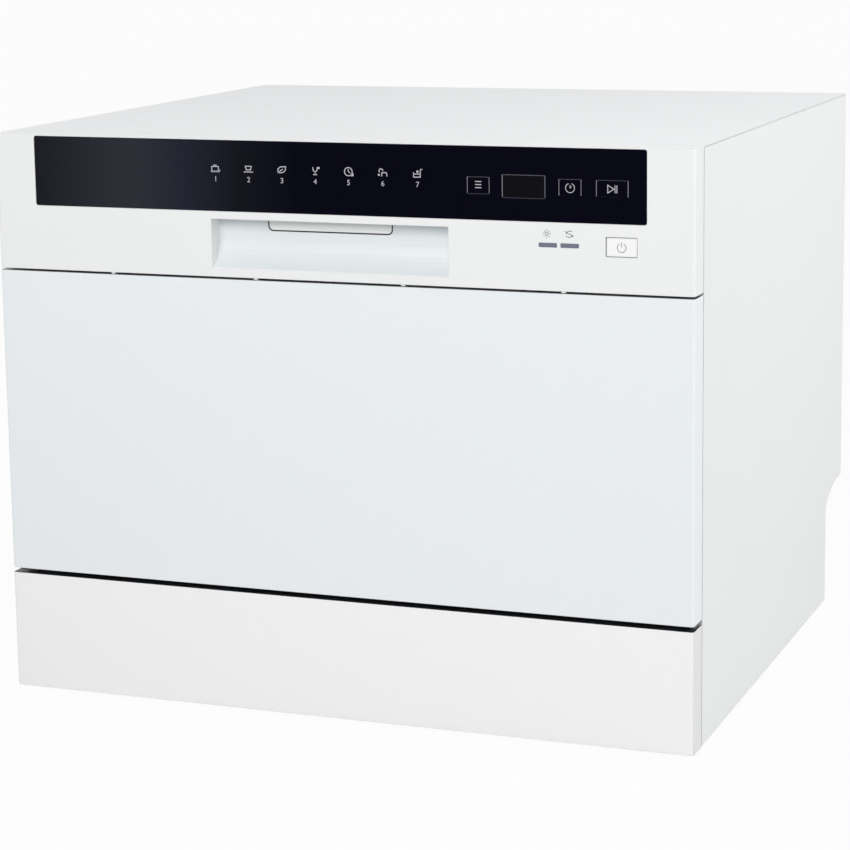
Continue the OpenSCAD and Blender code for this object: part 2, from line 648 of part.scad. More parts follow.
rack_x = tub_x - rack_gap - frame_r;
rack_front = yd + 30 + frame_r;
rack_rear = tub_rear - rack_back - frame_r;
flat = 0.924;
weld = 0.3;
floor_z = ledge_z + 2 * wheel_r + 1 + wire_r + fit;
long_r = wire_r - 0.05;
long_z = floor_z + flat * (wire_r + long_r) - weld;
nose_z = pin_z + 60 + wire_r;
nose_run = 50;
floor_front = rack_front + nose_run;
cross_n = floor((rack_rear - floor_front - 15) / wire_pitch);
cross_y = [for (i = [0:cross_n - 1]) floor_front + 4 + wire_pitch * i];
wall_x = rack_x - 2 * wire_r;
wall_y = [rack_front + 2 * wire_r, rack_rear - 2 * wire_r];
rail_out = flat * 2 * wire_r - weld;
rail_z = mid(nose_z, rim_z) + 4;
long_x = [for (i = [-4:4]) i * (2 * rack_x - 35) / 9];
module rack_floor() color("white") {
    for (y = cross_y)
        wire([-wall_x - wire_r, y, floor_z], [wall_x + wire_r, y, floor_z], wire_r);
    for (x = long_x)
        wire([x, floor_front, long_z], [x, wall_y[1] + wire_r, long_z], long_r);
}
// The side walls stand on the cross wires, the rear wall on the long wires
module rack_walls() color("white") {
    both_sides() {
        wire([rack_x, rack_front - frame_r, rim_z], [rack_x, rack_rear + frame_r, rim_z], frame_r);
        wire([wall_x + rail_out, wall_y[0], rail_z], [wall_x + rail_out, wall_y[1], rail_z], wire_r);
        for (y = cross_y)
            wire([wall_x, y, floor_z + flat * wire_r], [wall_x, y, rim_z], wire_r);
    }
    wire([shelf_x, shelf_y[0] - 14, shelf_z], [shelf_x, shelf_y[1] + 14, shelf_z], 2);
    for (y = [shelf_y[0] - 10, shelf_y[1] + 10])
        wire([shelf_x, y, shelf_z], [-rack_x, y, rim_z], 1.7);
    low = [nose_z + flat * wire_r + 0.2, long_z + flat * long_r];
    for (k = [0, 1]) {
        out = 2 * k - 1;
        end = [rack_front, rack_rear][k];
        wire([-rack_x + frame_r, end, rim_z], [rack_x - frame_r, end, rim_z], frame_r);
        for (z = [[nose_z + 8, rail_z], [rail_z]][k])
            wire([-wall_x + 5, wall_y[k] + out * rail_out, z],
                [wall_x - 5, wall_y[k] + out * rail_out, z], wire_r);
        for (x = long_x)
            wire([x, wall_y[k], low[k]], [x, wall_y[k], rim_z], long_r);
    }
    p = [0, wall_y[0] + 2.5, nose_z];
    q = [0, floor_front - 0.8, long_z];
    for (x = long_x)
        wire(p + [x, 0, 0], q + [x, 0, 0], long_r);
    for (m = [0.3, 0.7]) {
        c = p + (q - p) * m + [0, 1.2, 3.1];
        wire(c - [wall_x - 5, 0, 0], c + [wall_x - 5, 0, 0], wire_r);
    }
}
module rack_tines() color("white") {
    x0 = shelf_x + shelf_w + 0.5;
    x1 = basket_at[0] - 24;
    for (x = [for (i = [0:3]) x0 + i * (x1 - x0) / 3], i = [1:cross_n - 2])
        wire([x, cross_y[i], floor_z + flat * wire_r], [x, cross_y[i], floor_z + tine_h], wire_r - 0.15);
}

wheel_at = [yd + 150, rack_rear - 40];
wheel_z = ledge_z + fit + wheel_r;
wheel_x = rack_x - 16.5;
axle_r = 3;
carrier_t = 2.4;
module carrier(y) {
    x = wheel_x + wheel_w / 2 + fit;
    along_x(x, x + carrier_t) polygon([[y - 7, wheel_z - 5], [y + 7, wheel_z - 5], [y + 9, wheel_z],
        [y + 13, floor_z - wire_r - fit], [y - 13, floor_z - wire_r - fit], [y - 9, wheel_z]]);
    rod_x(x - wheel_w - fit - 1, x + 1, y, wheel_z, axle_r);
}
module wheel_carriers() color("gray") both_sides() for (y = wheel_at) carrier(y);
module rack_wheel(y) difference() {
    x = wheel_x - wheel_w / 2;
    union() {
        rod_x(x + 1, x + wheel_w - 1, y, wheel_z, wheel_r);
        rod_x(x, x + wheel_w, y, wheel_z, 6);
    }
    rod_x(x - 1, x + wheel_w + 1, y, wheel_z, axle_r + 0.06);
    for (k = [0:4])
        translate([0, y, wheel_z]) rotate([k * 72 + 36, 0, 0]) translate([0, 0, 8])
            rod_x(x - 1, x + wheel_w + 1, 0, 0, 1.3);
}
module rack_wheel_front_right() color("gray") rack_wheel(wheel_at[0]);
module rack_wheel_rear_right() color("gray") rack_wheel(wheel_at[1]);
module rack_wheel_front_left() color("gray") mirror([1, 0, 0]) rack_wheel(wheel_at[0]);
module rack_wheel_rear_left() color("gray") mirror([1, 0, 0]) rack_wheel(wheel_at[1]);

shelf_x = -rack_x + 8;
shelf_z = rim_z + 10;
shelf_y = [-140, 90];
shelf_w = 90;
module cup_shelf() color("lightgray") difference() {
    lo = [shelf_x + 3, shelf_y[0]];
    hi = [shelf_x + shelf_w, shelf_y[1]];
    cell = [26, (hi[1] - lo[1] - 9) / 9];
    union() {
        for (y = [lo[1], mid(lo[1], hi[1]) - 12, hi[1] - 24])
            rod_y(y, y + 24, shelf_x, shelf_z, 4.6);
        along_z(shelf_z - 1.5, shelf_z + 1.5) difference() {
            polygon(rounded(lo, hi, 12, 4));
            for (i = [0:2], j = [0:8])
                translate(lo + [8 + cell[0] * i, 7 + cell[1] * j]) square([20, cell[1] - 5]);
        }
        block([hi[0] - 3, lo[1] + 14, shelf_z - 0.5], [hi[0] - 1, hi[1] - 14, shelf_z + 5]);
    }
    rod_y(lo[1] - 1, hi[1] + 1, shelf_x, shelf_z, 2.1);
}

basket_at = [rack_x - 112.5, floor_front + 2];
basket_z = long_z + wire_r + fit;
basket_top = basket_z + basket[2];
module cutlery_basket() color("gray") {
    lo = [basket_at[0], basket_at[1], basket_z];
    hi = lo + basket;
    cell = [(basket[0] - basket_t) / 2, (basket[1] - basket_t) / 4];
    difference() {
        along_z(lo[2], hi[2]) polygon(rounded([lo[0], lo[1]], [hi[0], hi[1]], 7, 3));
        for (i = [0:1], j = [0:3])
            block([lo[0] + basket_t + cell[0] * i, lo[1] + basket_t + cell[1] * j, lo[2] + basket_t],
                [lo[0] + cell[0] * (i + 1), lo[1] + cell[1] * (j + 1), hi[2] + 1]);
        for (j = [0:3], k = [0:3], level = [0:1])
            block([lo[0] - 1, lo[1] + 7 + cell[1] * j + 8 * k, lo[2] + 12 + 40 * level],
                [lo[0] + basket_t + 1, lo[1] + 11 + cell[1] * j + 8 * k, lo[2] + 42 + 40 * level]);
        for (j = [0:3], k = [0:3], level = [0:1])
            block([hi[0] - basket_t - 1, lo[1] + 7 + cell[1] * j + 8 * k, lo[2] + 12 + 40 * level],
                [hi[0] + 1, lo[1] + 11 + cell[1] * j + 8 * k, lo[2] + 42 + 40 * level]);
        for (i = [0:1], k = [0:3], level = [0:1], end = [lo[1] - 1, hi[1] - basket_t - 1])
            block([lo[0] + 9 + cell[0] * i + 9 * k, end, lo[2] + 12 + 40 * level],
                [lo[0] + 13 + cell[0] * i + 9 * k, end + basket_t + 2, lo[2] + 42 + 40 * level]);
        for (i = [0:1], j = [0:3], k = [0:2])
            block([lo[0] + 9 + cell[0] * i, lo[1] + 8 + cell[1] * j + 10 * k, lo[2] - 1],
                [lo[0] + 39 + cell[0] * i, lo[1] + 13 + cell[1] * j + 10 * k, lo[2] + 4]);
    }
    mx = lo[0] + cell[0] + basket_t / 2;
    along_x(mx - 2.5, mx + 2.5) difference() {
        polygon(rounded([lo[1] + 40, hi[2] - 6], [hi[1] - 40, hi[2] + 30], 12, 4));
        polygon(rounded([lo[1] + 46, hi[2] - 0.5], [hi[1] - 46, hi[2] + 24], 8, 4));
    }
}

// Door

lip = 6;
door_top = split_z - seam;
module outer_door_panel() color("whitesmoke") {
    difference() {
        union() {
            along_z(door_low, door_top) polygon(plan_shell(yf, yd, edge_r, sheet_t));
            along_z(door_low, door_low + sheet_t) polygon(plan_outer(yf, yd - 1, edge_r));
            along_z(door_top - sheet_t, door_top) polygon(plan_outer(yf, yf + 12, edge_r));
        }
        both_sides() block([bracket_x - 0.8, yf + sheet_t, door_low - 1],
            [bracket_x + arm_t + 2.4, yd, door_low + sheet_t + cut]);
    }
    both_sides() block([inner_x - lip, yd - liner_t - sheet_t - 0.1, notch_z + 2],
        [inner_x + sheet_t / 2, yd - liner_t - 0.1, door_top - 2]);
}

overlay_lo = [-xs + overlay_margin[0], body_h - overlay_margin[2] - overlay_h];
overlay_hi = [xs - overlay_margin[1], body_h - overlay_margin[2]];
key_z = body_h - 29.5;
start_at = [xs - 60, key_z];
start_size = [22, key_h];
delay_at = [xs - 90.9, key_z];
delay_size = [15.2, key_h];
program_at = [xs - 159.3, key_z];
program_size = [15.4, key_h];
display_at = [xs - 125.3, key_z];
display_size = [display_w, display_h];
power_at = [xs - 53.15, body_h - 70.35];
power_size = [22.3, 13.3];
lens_size = [13.4, 3];
lens_at = [[xs - 107.5, body_h - 70.5], [xs - 91.25, body_h - 70.5]];
key_r = 1.2;
flange = 1.4;
flange_t = 0.8;
board_y = panel_in + 4;
boss = [for (x = [-xs + 25, -120, 110, xs - 25]) [x, body_h - 13.5]];
board_boss = [[xs - 210, key_z + 5], [xs - 38, key_z + 5], [xs - 127, body_h - 80], [xs - 37, body_h - 81]];
// Rectangle with small round corners, about its centre
module plate(at, size, r, grow = 0) polygon(rounded(at - size / 2 - [grow, grow],
    at + size / 2 + [grow, grow], r + grow, 3));

pocket_x = [-1.25 - pocket_w / 2, -1.25 + pocket_w / 2];
pocket_top = body_h - pocket_drop;
pocket_low = pocket_top - pocket_h;
pocket_flat = 14;
pocket_back = panel_y + pocket_d;
pocket_rise = pocket_h - pocket_flat;
pocket_r = (pocket_d * pocket_d + pocket_rise * pocket_rise) / (2 * pocket_d);
pocket_c = [pocket_back - pocket_r, pocket_top - pocket_flat];
pocket_wall = 2;
// Side view of the pocket's hollow and of its moulded wall
module pocket_hollow() polygon(concat([[panel_y - 1, pocket_low], [panel_y - 1, pocket_top],
    [pocket_back, pocket_top]],
    arc(pocket_c, pocket_r, 0, -asin(pocket_rise / pocket_r), 8)));
module pocket_body() {
    r = pocket_r + pocket_wall;
    polygon(concat([[panel_in - 1, pocket_top + pocket_wall],
        [pocket_back + pocket_wall, pocket_top + pocket_wall]],
        arc(pocket_c, r, 0, -acos((panel_in - 1 - pocket_c[0]) / r), 8)));
}
lever_low = pocket_top - lever_h;
lever_box = [[lever_x - lever_w / 2, lever_low], [lever_x + lever_w / 2, latch_z - 30]];
top_t = 2.5;
tab_x = [-178, -60, 57, 179];
module control_panel() color("whitesmoke") difference() {
    union() {
        along_z(split_z, body_h) polygon(plan_shell(panel_y, yd, edge_r, panel_wall));
        along_z(body_h - top_t, body_h) polygon(plan_outer(panel_y, yd, edge_r));
        along_z(split_z, split_z + 2) polygon(plan_outer(panel_y, panel_y + 12, edge_r));
        along_x(pocket_x[0] - pocket_wall, pocket_x[1] + pocket_wall) pocket_body();
        for (p = boss)
            rod_y(panel_in - 1, yd - liner_t - fit, p[0], p[1], 4);
        for (p = board_boss)
            rod_y(panel_in - 1, board_y, p[0], p[1], 2.6);
        for (x = tab_x)
            block([x - 1.6, panel_y + 0.4, split_z - seam + fit], [x + 1.6, panel_y + 6, split_z + 1]);
    }
    along_y(panel_y - 1, overlay_y + overlay_t)
        polygon(rounded(overlay_lo - [0.25, 0.25], overlay_hi + [0.25, 0.25], 1.75, 3));
    along_x(pocket_x[0], pocket_x[1]) pocket_hollow();
    along_y(pocket_back - 3.7, pocket_back + 3)
        polygon(rounded(lever_box[0] - [0.5, 0.4], [lever_box[1][0] + 0.5, pocket_top + 6], 3.4, 3));
    along_y(panel_y - 1, panel_in + 1) {
        plate(power_at, power_size, key_r, key_gap);
        plate(start_at, start_size, key_r, key_gap);
        plate(delay_at, delay_size, key_r, key_gap);
        plate(program_at, program_size, key_r, key_gap);
        plate(display_at, display_size - [3, 3], 1);
        for (p = lens_at) plate(p, lens_size, 0.4, 0.1);
    }
    for (p = boss)
        rod_y(yd - 9, yd + 1, p[0], p[1], 1.5);
}
module panel_overlay() color([0.06, 0.06, 0.09]) along_y(overlay_y, overlay_y + overlay_t) difference() {
    polygon(rounded(overlay_lo, overlay_hi, 1.5, 3));
    plate(start_at, start_size, key_r, key_gap);
    plate(delay_at, delay_size, key_r, key_gap);
    plate(program_at, program_size, key_r, key_gap);
    plate(display_at, display_size, 1, 0.1);
}
module display_window() color([0.1, 0.1, 0.13]) {
    along_y(overlay_y, overlay_y + overlay_t) plate(display_at, display_size, 1);
    along_y(overlay_y + overlay_t - 0.2, panel_in - fit) plate(display_at, display_size - [3.6, 3.6], 0.7);
}
module indicator_lenses() color("slategray") for (p = lens_at) {
    along_y(panel_y + 0.05, panel_in + 0.2) plate(p, lens_size, 0.4);
    along_y(panel_in + 0.1, panel_in + 1.2) plate(p, lens_size, 0.4, 1);
}
// A push button: its cap, its flange behind the panel and its stem
module button(at, size, front) {
    along_y(front, panel_in + fit + 0.4) plate(at, size, key_r);
    along_y(panel_in + fit, panel_in + fit + flange_t) plate(at, size, key_r, flange);
}
module start_button() color([0.06, 0.06, 0.09]) button(start_at, start_size, overlay_y + 0.05);
module delay_button() color([0.06, 0.06, 0.09]) button(delay_at, delay_size, overlay_y + 0.05);
module program_button() color([0.06, 0.06, 0.09]) button(program_at, program_size, overlay_y + 0.05);
module power_button() color("whitesmoke") button(power_at, power_size, panel_y + 0.05);

switch_h = 4 - fit - flange_t - key_travel - 0.2;
module display_board() color("seagreen") {
    lo = [xs - 215, key_z - 20];
    along_y(board_y, board_y + 1.6) polygon([lo, [xs - 132, lo[1]], [xs - 132, body_h - 84],
        [xs - 34, body_h - 84],
        [xs - 34, body_h - 19], [lo[0], body_h - 19]]);
    for (p = [start_at, delay_at, program_at, power_at])
        along_y(board_y - switch_h, board_y + 0.5) plate(p, [6, 6], 0.5);
    for (p = lens_at)
        along_y(board_y - 1.8, board_y + 0.5) plate(p, [3, 2], 0.2);
    along_y(board_y - 3.2, board_y + 0.5) plate(display_at, display_size - [6, 6], 0.5);
}

dish_x = wheel_x - wheel_w / 2 - 6;
dish_lo = [-dish_x, ledge_z];
dish_hi = [dish_x, door_top - 11];
disp_c = [-5, mid(dish_lo[1], dish_hi[1]) + 30];
disp_size = [190, 100];
liner_top = body_h - 8;
module inner_door() color("silver") difference() {
    union() {
        along_y(yd - liner_t, yd) difference() {
            polygon([[-bracket_x + 5, pin_z], [bracket_x - 5, pin_z], [bracket_x - 5, notch_z - 12],
                [inner_x - 1.8, notch_z - 12], [inner_x - 1.8, liner_top], [-inner_x + 1.8, liner_top],
                [-inner_x + 1.8, notch_z - 12], [-bracket_x + 5, notch_z - 12]]);
            polygon(rounded(dish_lo + [liner_t, liner_t], dish_hi - [liner_t, liner_t], 19));
        }
        along_y(yd - liner_t - dish_d, yd - liner_t / 2) difference() {
            polygon(rounded(dish_lo, dish_hi, 20));
            polygon(rounded(dish_lo + [liner_t, liner_t], dish_hi - [liner_t, liner_t], 19));
        }
        along_y(yd - liner_t - dish_d, yd - dish_d)
            polygon(rounded(dish_lo + [liner_t / 2, liner_t / 2], dish_hi - [liner_t / 2, liner_t / 2],
                19.5));
    }
    along_y(yd - 12, yd + 1) plate(disp_c, disp_size - [8, 8], 8, 0.3);
    along_y(yd - 3, yd + 1) polygon(rounded([lever_x - 14, latch_z + 1.5], [lever_x + 14, latch_z + 10.5],
        2, 3));
    for (p = boss)
        rod_y(yd - 3, yd + 1, p[0], p[1], 1.8);
    both_sides() for (z = hinge_screw_z)
        rod_y(yd - 3, yd + 1, hinge_screw_x, z, 1.8);
}

cup_c = disp_c + [-57, 0];
cup_size = [50, 62];
rinse_c = disp_c + [58, 8];
rinse_r = 17;
lid_size = cup_size + [8, 8];
lid_travel = 54;
lid_rail = 2;
disp_front = yf + 3;
module dispenser() color("lightgray") difference() {
    union() {
        along_y(disp_front, yd - dish_d + 0.4) plate(disp_c, disp_size - [8, 8], 8);
        along_y(yd - dish_d + 0.2, yd - 0.2) plate(disp_c, disp_size, 10);
    }
    along_y(disp_front + 2, yd + 1) plate(cup_c, cup_size, 6);
    along_y(yd - 4.3, yd - 1.7) plate(cup_c + [lid_travel / 2, 0], lid_size + [lid_travel + 1.2, 1.2], 4);
    along_y(yd - 2, yd + 1) plate(cup_c + [lid_travel / 2, 0],
        lid_size + [lid_travel + 1.2, -2 * lid_rail], 4);
    along_y(disp_front + 4, yd + 1) plate(rinse_c, [1, 1] * (2 * rinse_r + 4), rinse_r + 1.9);
}
module detergent_lid() color("gray") {
    along_y(yd - 4, yd - 2) plate(cup_c, lid_size, 4);
    for (i = [0:4])
        along_y(yd - 2.1, yd - 0.9) plate(cup_c + [-14 + 7 * i, 0], [2.4, 46], 1);
}
module rinse_cap() color("gray") {
    rod_y(disp_front + 4.4, yd - 3.4, rinse_c[0], rinse_c[1], rinse_r - 4);
    rod_y(yd - 6, yd - 3, rinse_c[0], rinse_c[1], rinse_r);
    along_y(yd - 3.2, yd - 0.6) plate(rinse_c, [2 * rinse_r - 6, 5], 2);
}

cheek_x = [lever_x - 27.7, lever_x + 27.7];
cheek_t = 2;
trunnion_r = 1.5;
trunnion_y = panel_in + 5.3;
module door_latch() color("black") {
    y0 = panel_in + fit;
    y1 = yd - liner_t - fit;
    difference() {
        union() {
            block([cheek_x[0] - cheek_t, y0, latch_z - 10], [cheek_x[0], y1, latch_z + 10]);
            block([cheek_x[1], y0, latch_z - 10], [cheek_x[1] + cheek_t, y1, latch_z + 10]);
            block([cheek_x[0] - cheek_t, y0, latch_z - 12], [cheek_x[1] + cheek_t, y0 + 1.5, latch_z + 12]);
            block([cheek_x[1] + cheek_t - 0.5, y0 + 2, latch_z - 9], [cheek_x[1] + 17, y1 - 2, latch_z + 9]);
        }
        rod_x(cheek_x[0] - 5, cheek_x[1] + 3, trunnion_y, latch_z, trunnion_r + 0.05);
    }
}
module release_lever() color("whitesmoke") {
    y0 = pocket_back;
    y1 = pocket_back + 2;
    w = cheek_x[1] - cheek_x[0] - 1;
    along_y(y0, y1) polygon(rounded(lever_box[0], lever_box[1], 3, 3));
    block([lever_x - w / 2, y0, latch_z - 32], [lever_x + w / 2, y1 - 0.1, latch_z + 1]);
    block([lever_x - w / 2, trunnion_y, latch_z - 2.4], [lever_x + w / 2, y1 - 0.3, latch_z + 2.2]);
    rod_x(lever_x - w / 2, lever_x + w / 2, trunnion_y, latch_z, 2.8);
    rod_x(cheek_x[0] - 1.5, cheek_x[1] + 1.5, trunnion_y, latch_z, trunnion_r);
    block([lever_x - 3, y1 - 1, latch_z - 1.4], [lever_x + 3, yd - 2, latch_z + 1.6]);
    block([lever_x - 3, yd - 5, latch_z + 1], [lever_x + 3, yd - 2.1, tongue_z - 0.6]);
}

module door_screw(x, z) {
    rod_y(yd, yd + 1.2, x, z, 3.2);
    rod_y(yd - 4.5, yd + 0.5, x, z, 1.4);
}
module door_screws() color("gray") {
    for (p = boss) door_screw(p[0], p[1]);
    both_sides() for (z = hinge_screw_z) door_screw(hinge_screw_x, z);
}

top_cover();
side_panel_left();
side_panel_right();
rear_panel();
base_pan();
connection_panel();
kick_plate();
rubber_feet();
tub();
tub_floor();
door_seals();
door_strike();
hinge_brackets();
hinge_pins();
sump();
circulation_pump();
drain_pump();
water_heater();
water_softener();
inlet_valve();
drain_spigot();
cable_gland();
air_break();
power_board();
float_switch();
spray_post();
flat_filter();
cabinet_screws();
float();
salt_cap();
filter_cup();
spray_arm();
rack_floor();
rack_walls();
rack_tines();
wheel_carriers();
rack_wheel_front_left();
rack_wheel_front_right();
rack_wheel_rear_left();
rack_wheel_rear_right();
cup_shelf();
cutlery_basket();
outer_door_panel();
control_panel();
panel_overlay();
display_window();
display_board();
indicator_lenses();
inner_door();
dispenser();
detergent_lid();
rinse_cap();
door_latch();
release_lever();
hinge_arms();
power_button();
program_button();
delay_button();
start_button();
door_screws();
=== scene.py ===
# %% [markdown]
# # A countertop dishwasher
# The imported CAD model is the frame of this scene: every solid comes in at its real place and size.
# The cells below light it, give each solid the finish of its real material, and add what CAD leaves
# out: the round welded wires of the rack and the printed marks on the control panel.

# %% Load the CAD model
import json
import math
import bpy
from mathutils import Matrix, Vector


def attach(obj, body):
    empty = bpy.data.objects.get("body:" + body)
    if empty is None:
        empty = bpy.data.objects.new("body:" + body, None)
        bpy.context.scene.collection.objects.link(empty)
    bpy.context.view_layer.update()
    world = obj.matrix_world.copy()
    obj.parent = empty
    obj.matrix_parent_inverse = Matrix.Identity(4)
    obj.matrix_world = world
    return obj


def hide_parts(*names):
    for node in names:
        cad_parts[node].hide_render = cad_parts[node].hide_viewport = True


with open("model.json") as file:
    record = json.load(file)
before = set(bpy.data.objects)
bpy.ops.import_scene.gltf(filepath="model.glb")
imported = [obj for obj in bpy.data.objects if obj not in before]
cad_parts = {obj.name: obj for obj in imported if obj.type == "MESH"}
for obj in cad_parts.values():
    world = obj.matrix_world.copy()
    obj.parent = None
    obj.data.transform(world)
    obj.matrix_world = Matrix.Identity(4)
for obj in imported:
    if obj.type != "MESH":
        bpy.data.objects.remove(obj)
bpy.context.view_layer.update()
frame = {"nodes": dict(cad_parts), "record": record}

# %% [markdown]
# ## Small helpers
# A colour picker shows sRGB hex values, but Blender's shaders expect linear ones, so one function turns
# the first into the second. A node tree grows long when every node takes several lines, so a second
# function adds a node with its settings and its links in one call.

# %% Colours and nodes
MM = 0.001


def linear(hex_colour):
    """sRGB hex text to a linear RGBA tuple."""
    values = [int(hex_colour[i:i + 2], 16) / 255 for i in (0, 2, 4)]
    return tuple(v / 12.92 if v <= 0.04045 else ((v + 0.055) / 1.055) ** 2.4 for v in values) + (1.0,)


def node(tree, kind, links=(), **settings):
    """Adds a node. A setting named in_X fills socket X, any other sets the node's own property."""
    added = tree.nodes.new(kind)
    for key, value in settings.items():
        if key.startswith("in_"):
            socket = key[3:].replace("_", " ")
            added.inputs[int(socket) if socket.isdigit() else socket].default_value = value
        else:
            setattr(added, key, value)
    for source, target in links:
        tree.links.new(source, added.inputs[target])
    return added


print("mid grey 808080 is", round(linear("808080")[0], 3), "in linear light")

# %% [markdown]
# ## Camera
# The place, the angles and the focal length come from fitting the cabinet's corners to the photograph.
# It looks from the front right and a little above, with a long lens, so the perspective is mild. The
# photograph's upright edges are nearly parallel, which a lens shift brings about. This one is kept
# small, so that every other view still frames the whole machine.

# %% Camera
CAMERA_AT = Vector((0.7371, -1.9824, 0.6155))
AZIMUTH, ELEVATION, ROLL = map(math.radians, (20.957, 9.915, -0.805))
FOCAL_PX, SHIFT_PX, IMAGE_PX, SENSOR = 2599, -80, 850, 36

ahead = Vector((-math.sin(AZIMUTH) * math.cos(ELEVATION),
                math.cos(AZIMUTH) * math.cos(ELEVATION),
                -math.sin(ELEVATION)))
level = Vector((math.cos(AZIMUTH), math.sin(AZIMUTH), 0))
upward = level.cross(ahead)
right = level * math.cos(ROLL) + upward * math.sin(ROLL)
above = upward * math.cos(ROLL) - level * math.sin(ROLL)
turn = Matrix((right, above, -ahead)).transposed().to_4x4()

scene = bpy.context.scene
camera_data = bpy.data.cameras.new("camera")
camera_data.sensor_width = SENSOR
camera_data.lens = FOCAL_PX * SENSOR / IMAGE_PX
camera_data.shift_y = SHIFT_PX / IMAGE_PX
camera = bpy.data.objects.new("camera", camera_data)
camera.matrix_world = Matrix.Translation(CAMERA_AT) @ turn
scene.collection.objects.link(camera)
scene.camera = camera
print("lens", round(camera_data.lens, 1), "mm")

# %% [markdown]
# ## White surround
# The photograph is a catalogue picture with a plain white background. A brightly lit backdrop would
# burn out the white cabinet as well, so the world has two strengths. The rays that show it, from the
# camera, off gloss and through glass, find plain white, and all the others find a weaker fill light.

# %% Surround
FILL_STRENGTH = 0.45


def background_rays(tree):
    """1 for the rays that show the background: from the camera, off gloss and through glass."""
    rays = node(tree, "ShaderNodeLightPath")
    shown = rays.outputs["Is Camera Ray"]
    for kind in ("Is Glossy Ray", "Is Transmission Ray"):
        larger = node(tree, "ShaderNodeMath", [(shown, 0), (rays.outputs[kind], 1)], operation="MAXIMUM")
        shown = larger.outputs[0]
    return shown


scene.view_settings.view_transform = "Standard"
world = bpy.data.worlds.new("surround")
scene.world = world
world.use_nodes = True
tree = world.node_tree
tree.nodes.clear()
plain_white = node(tree, "ShaderNodeBackground", in_Color=linear("FFFFFF"), in_Strength=1.0)
fill_light = node(tree, "ShaderNodeBackground", in_Color=linear("FBFCFF"), in_Strength=FILL_STRENGTH)
chosen = node(tree, "ShaderNodeMixShader",
              [(background_rays(tree), 0), (fill_light.outputs[0], 1), (plain_white.outputs[0], 2)])
node(tree, "ShaderNodeOutputWorld", [(chosen.outputs[0], "Surface")])
print("world nodes:", len(tree.nodes))

# %% [markdown]
# ## Floor
# The machine stands on a white sheet that runs into the background. A plain white floor would show a
# horizon, and a floor that only glows would hold no shadow. So the paint is mostly a glow for the rays
# that show it, and the small rest is lit like any surface and keeps a faint shadow under the feet.

# %% Floor
FLOOR_HALF, FLOOR_LEVEL, FLOOR_GLOW = 14, -0.0005, 0.96


def material(name, colour, roughness, metallic=0.0, coat=0.0, specular=0.5):
    """A plain Principled material, returned with its tree and its shader."""
    made = bpy.data.materials.new(name)
    made.use_nodes = True
    shader = made.node_tree.nodes["Principled BSDF"]
    shader.inputs["Base Color"].default_value = linear(colour)
    shader.inputs["Roughness"].default_value = roughness
    shader.inputs["Metallic"].default_value = metallic
    shader.inputs["Coat Weight"].default_value = coat
    shader.inputs["Specular IOR Level"].default_value = specular
    return made, made.node_tree, shader


def plain_object(name, data):
    """An object at the origin that holds a mesh or a text."""
    obj = bpy.data.objects.new(name, data)
    scene.collection.objects.link(obj)
    return obj


floor_mesh = bpy.data.meshes.new("floor")
floor_corners = [(x, y, FLOOR_LEVEL) for x, y in ((-FLOOR_HALF, -FLOOR_HALF), (FLOOR_HALF, -FLOOR_HALF),
                                                  (FLOOR_HALF, FLOOR_HALF), (-FLOOR_HALF, FLOOR_HALF))]
floor_mesh.from_pydata(floor_corners, [], [(0, 1, 2, 3)])
floor = plain_object("floor", floor_mesh)

# matt floor paint, which takes a soft shadow and shows no gloss
floor_paint, tree, shader = material("white floor paint", "C4C4C3", 0.9, specular=0.1)
glow = node(tree, "ShaderNodeEmission", in_Color=linear("FFFFFF"), in_Strength=1.0)
share = node(tree, "ShaderNodeMath", [(background_rays(tree), 0)], operation="MULTIPLY", in_1=FLOOR_GLOW)
blend = node(tree, "ShaderNodeMixShader",
             [(share.outputs[0], 0), (shader.outputs[0], 1), (glow.outputs[0], 2)])
tree.links.new(blend.outputs[0], tree.nodes["Material Output"].inputs["Surface"])
floor_mesh.materials.append(floor_paint)
print("floor:", 2 * FLOOR_HALF, "m wide")

# %% [markdown]
# ## Lamps
# Large lamps give soft shadows. The front, the right side and the top of the cabinet each have their
# own shade of white in the photograph, so there is one soft box for each of the three. Each lamp looks
# mostly at its own face, so its power sets how bright that face is.

# %% Lamps


def lamp(name, place, target, width, height, power):
    """An area lamp at a place, turned to its target, in metres and watts."""
    data = bpy.data.lights.new(name, "AREA")
    data.shape = "RECTANGLE"
    data.size = width
    data.size_y = height
    data.energy = power
    obj = bpy.data.objects.new(name, data)
    obj.location = place
    obj.rotation_euler = (Vector(target) - Vector(place)).to_track_quat("-Z", "Y").to_euler()
    scene.collection.objects.link(obj)


lamp("front_softbox", (0.15, -2.6, 1.5), (0, -0.2, 0.25), 2.2, 1.2, 40)
lamp("side_softbox", (1.9, 0.1, 1.25), (0.27, 0, 0.35), 1.4, 1.0, 18.5)
lamp("overhead_softbox", (0.2, -0.4, 2.9), (0, 0, 0), 2.6, 2.2, 3.2)

# %% [markdown]
# ## A finish and its grain
# No moulded or painted surface is perfectly smooth, and no real edge is perfectly sharp. A Noise node
# drives a slight bump, whose grain is a size in millimetres, and the Bevel node rounds the edges in the
# shading alone. That leaves the CAD solids' meshes as they are. The real grain of plastic, rubber, ink
# and brushed steel is finer than a pixel, so theirs is drawn as coarse as it needs to be to show.

# %% Finish helpers
BUMP_HEIGHT = 0.4
BEVEL_SAMPLES = 4
finish = {}


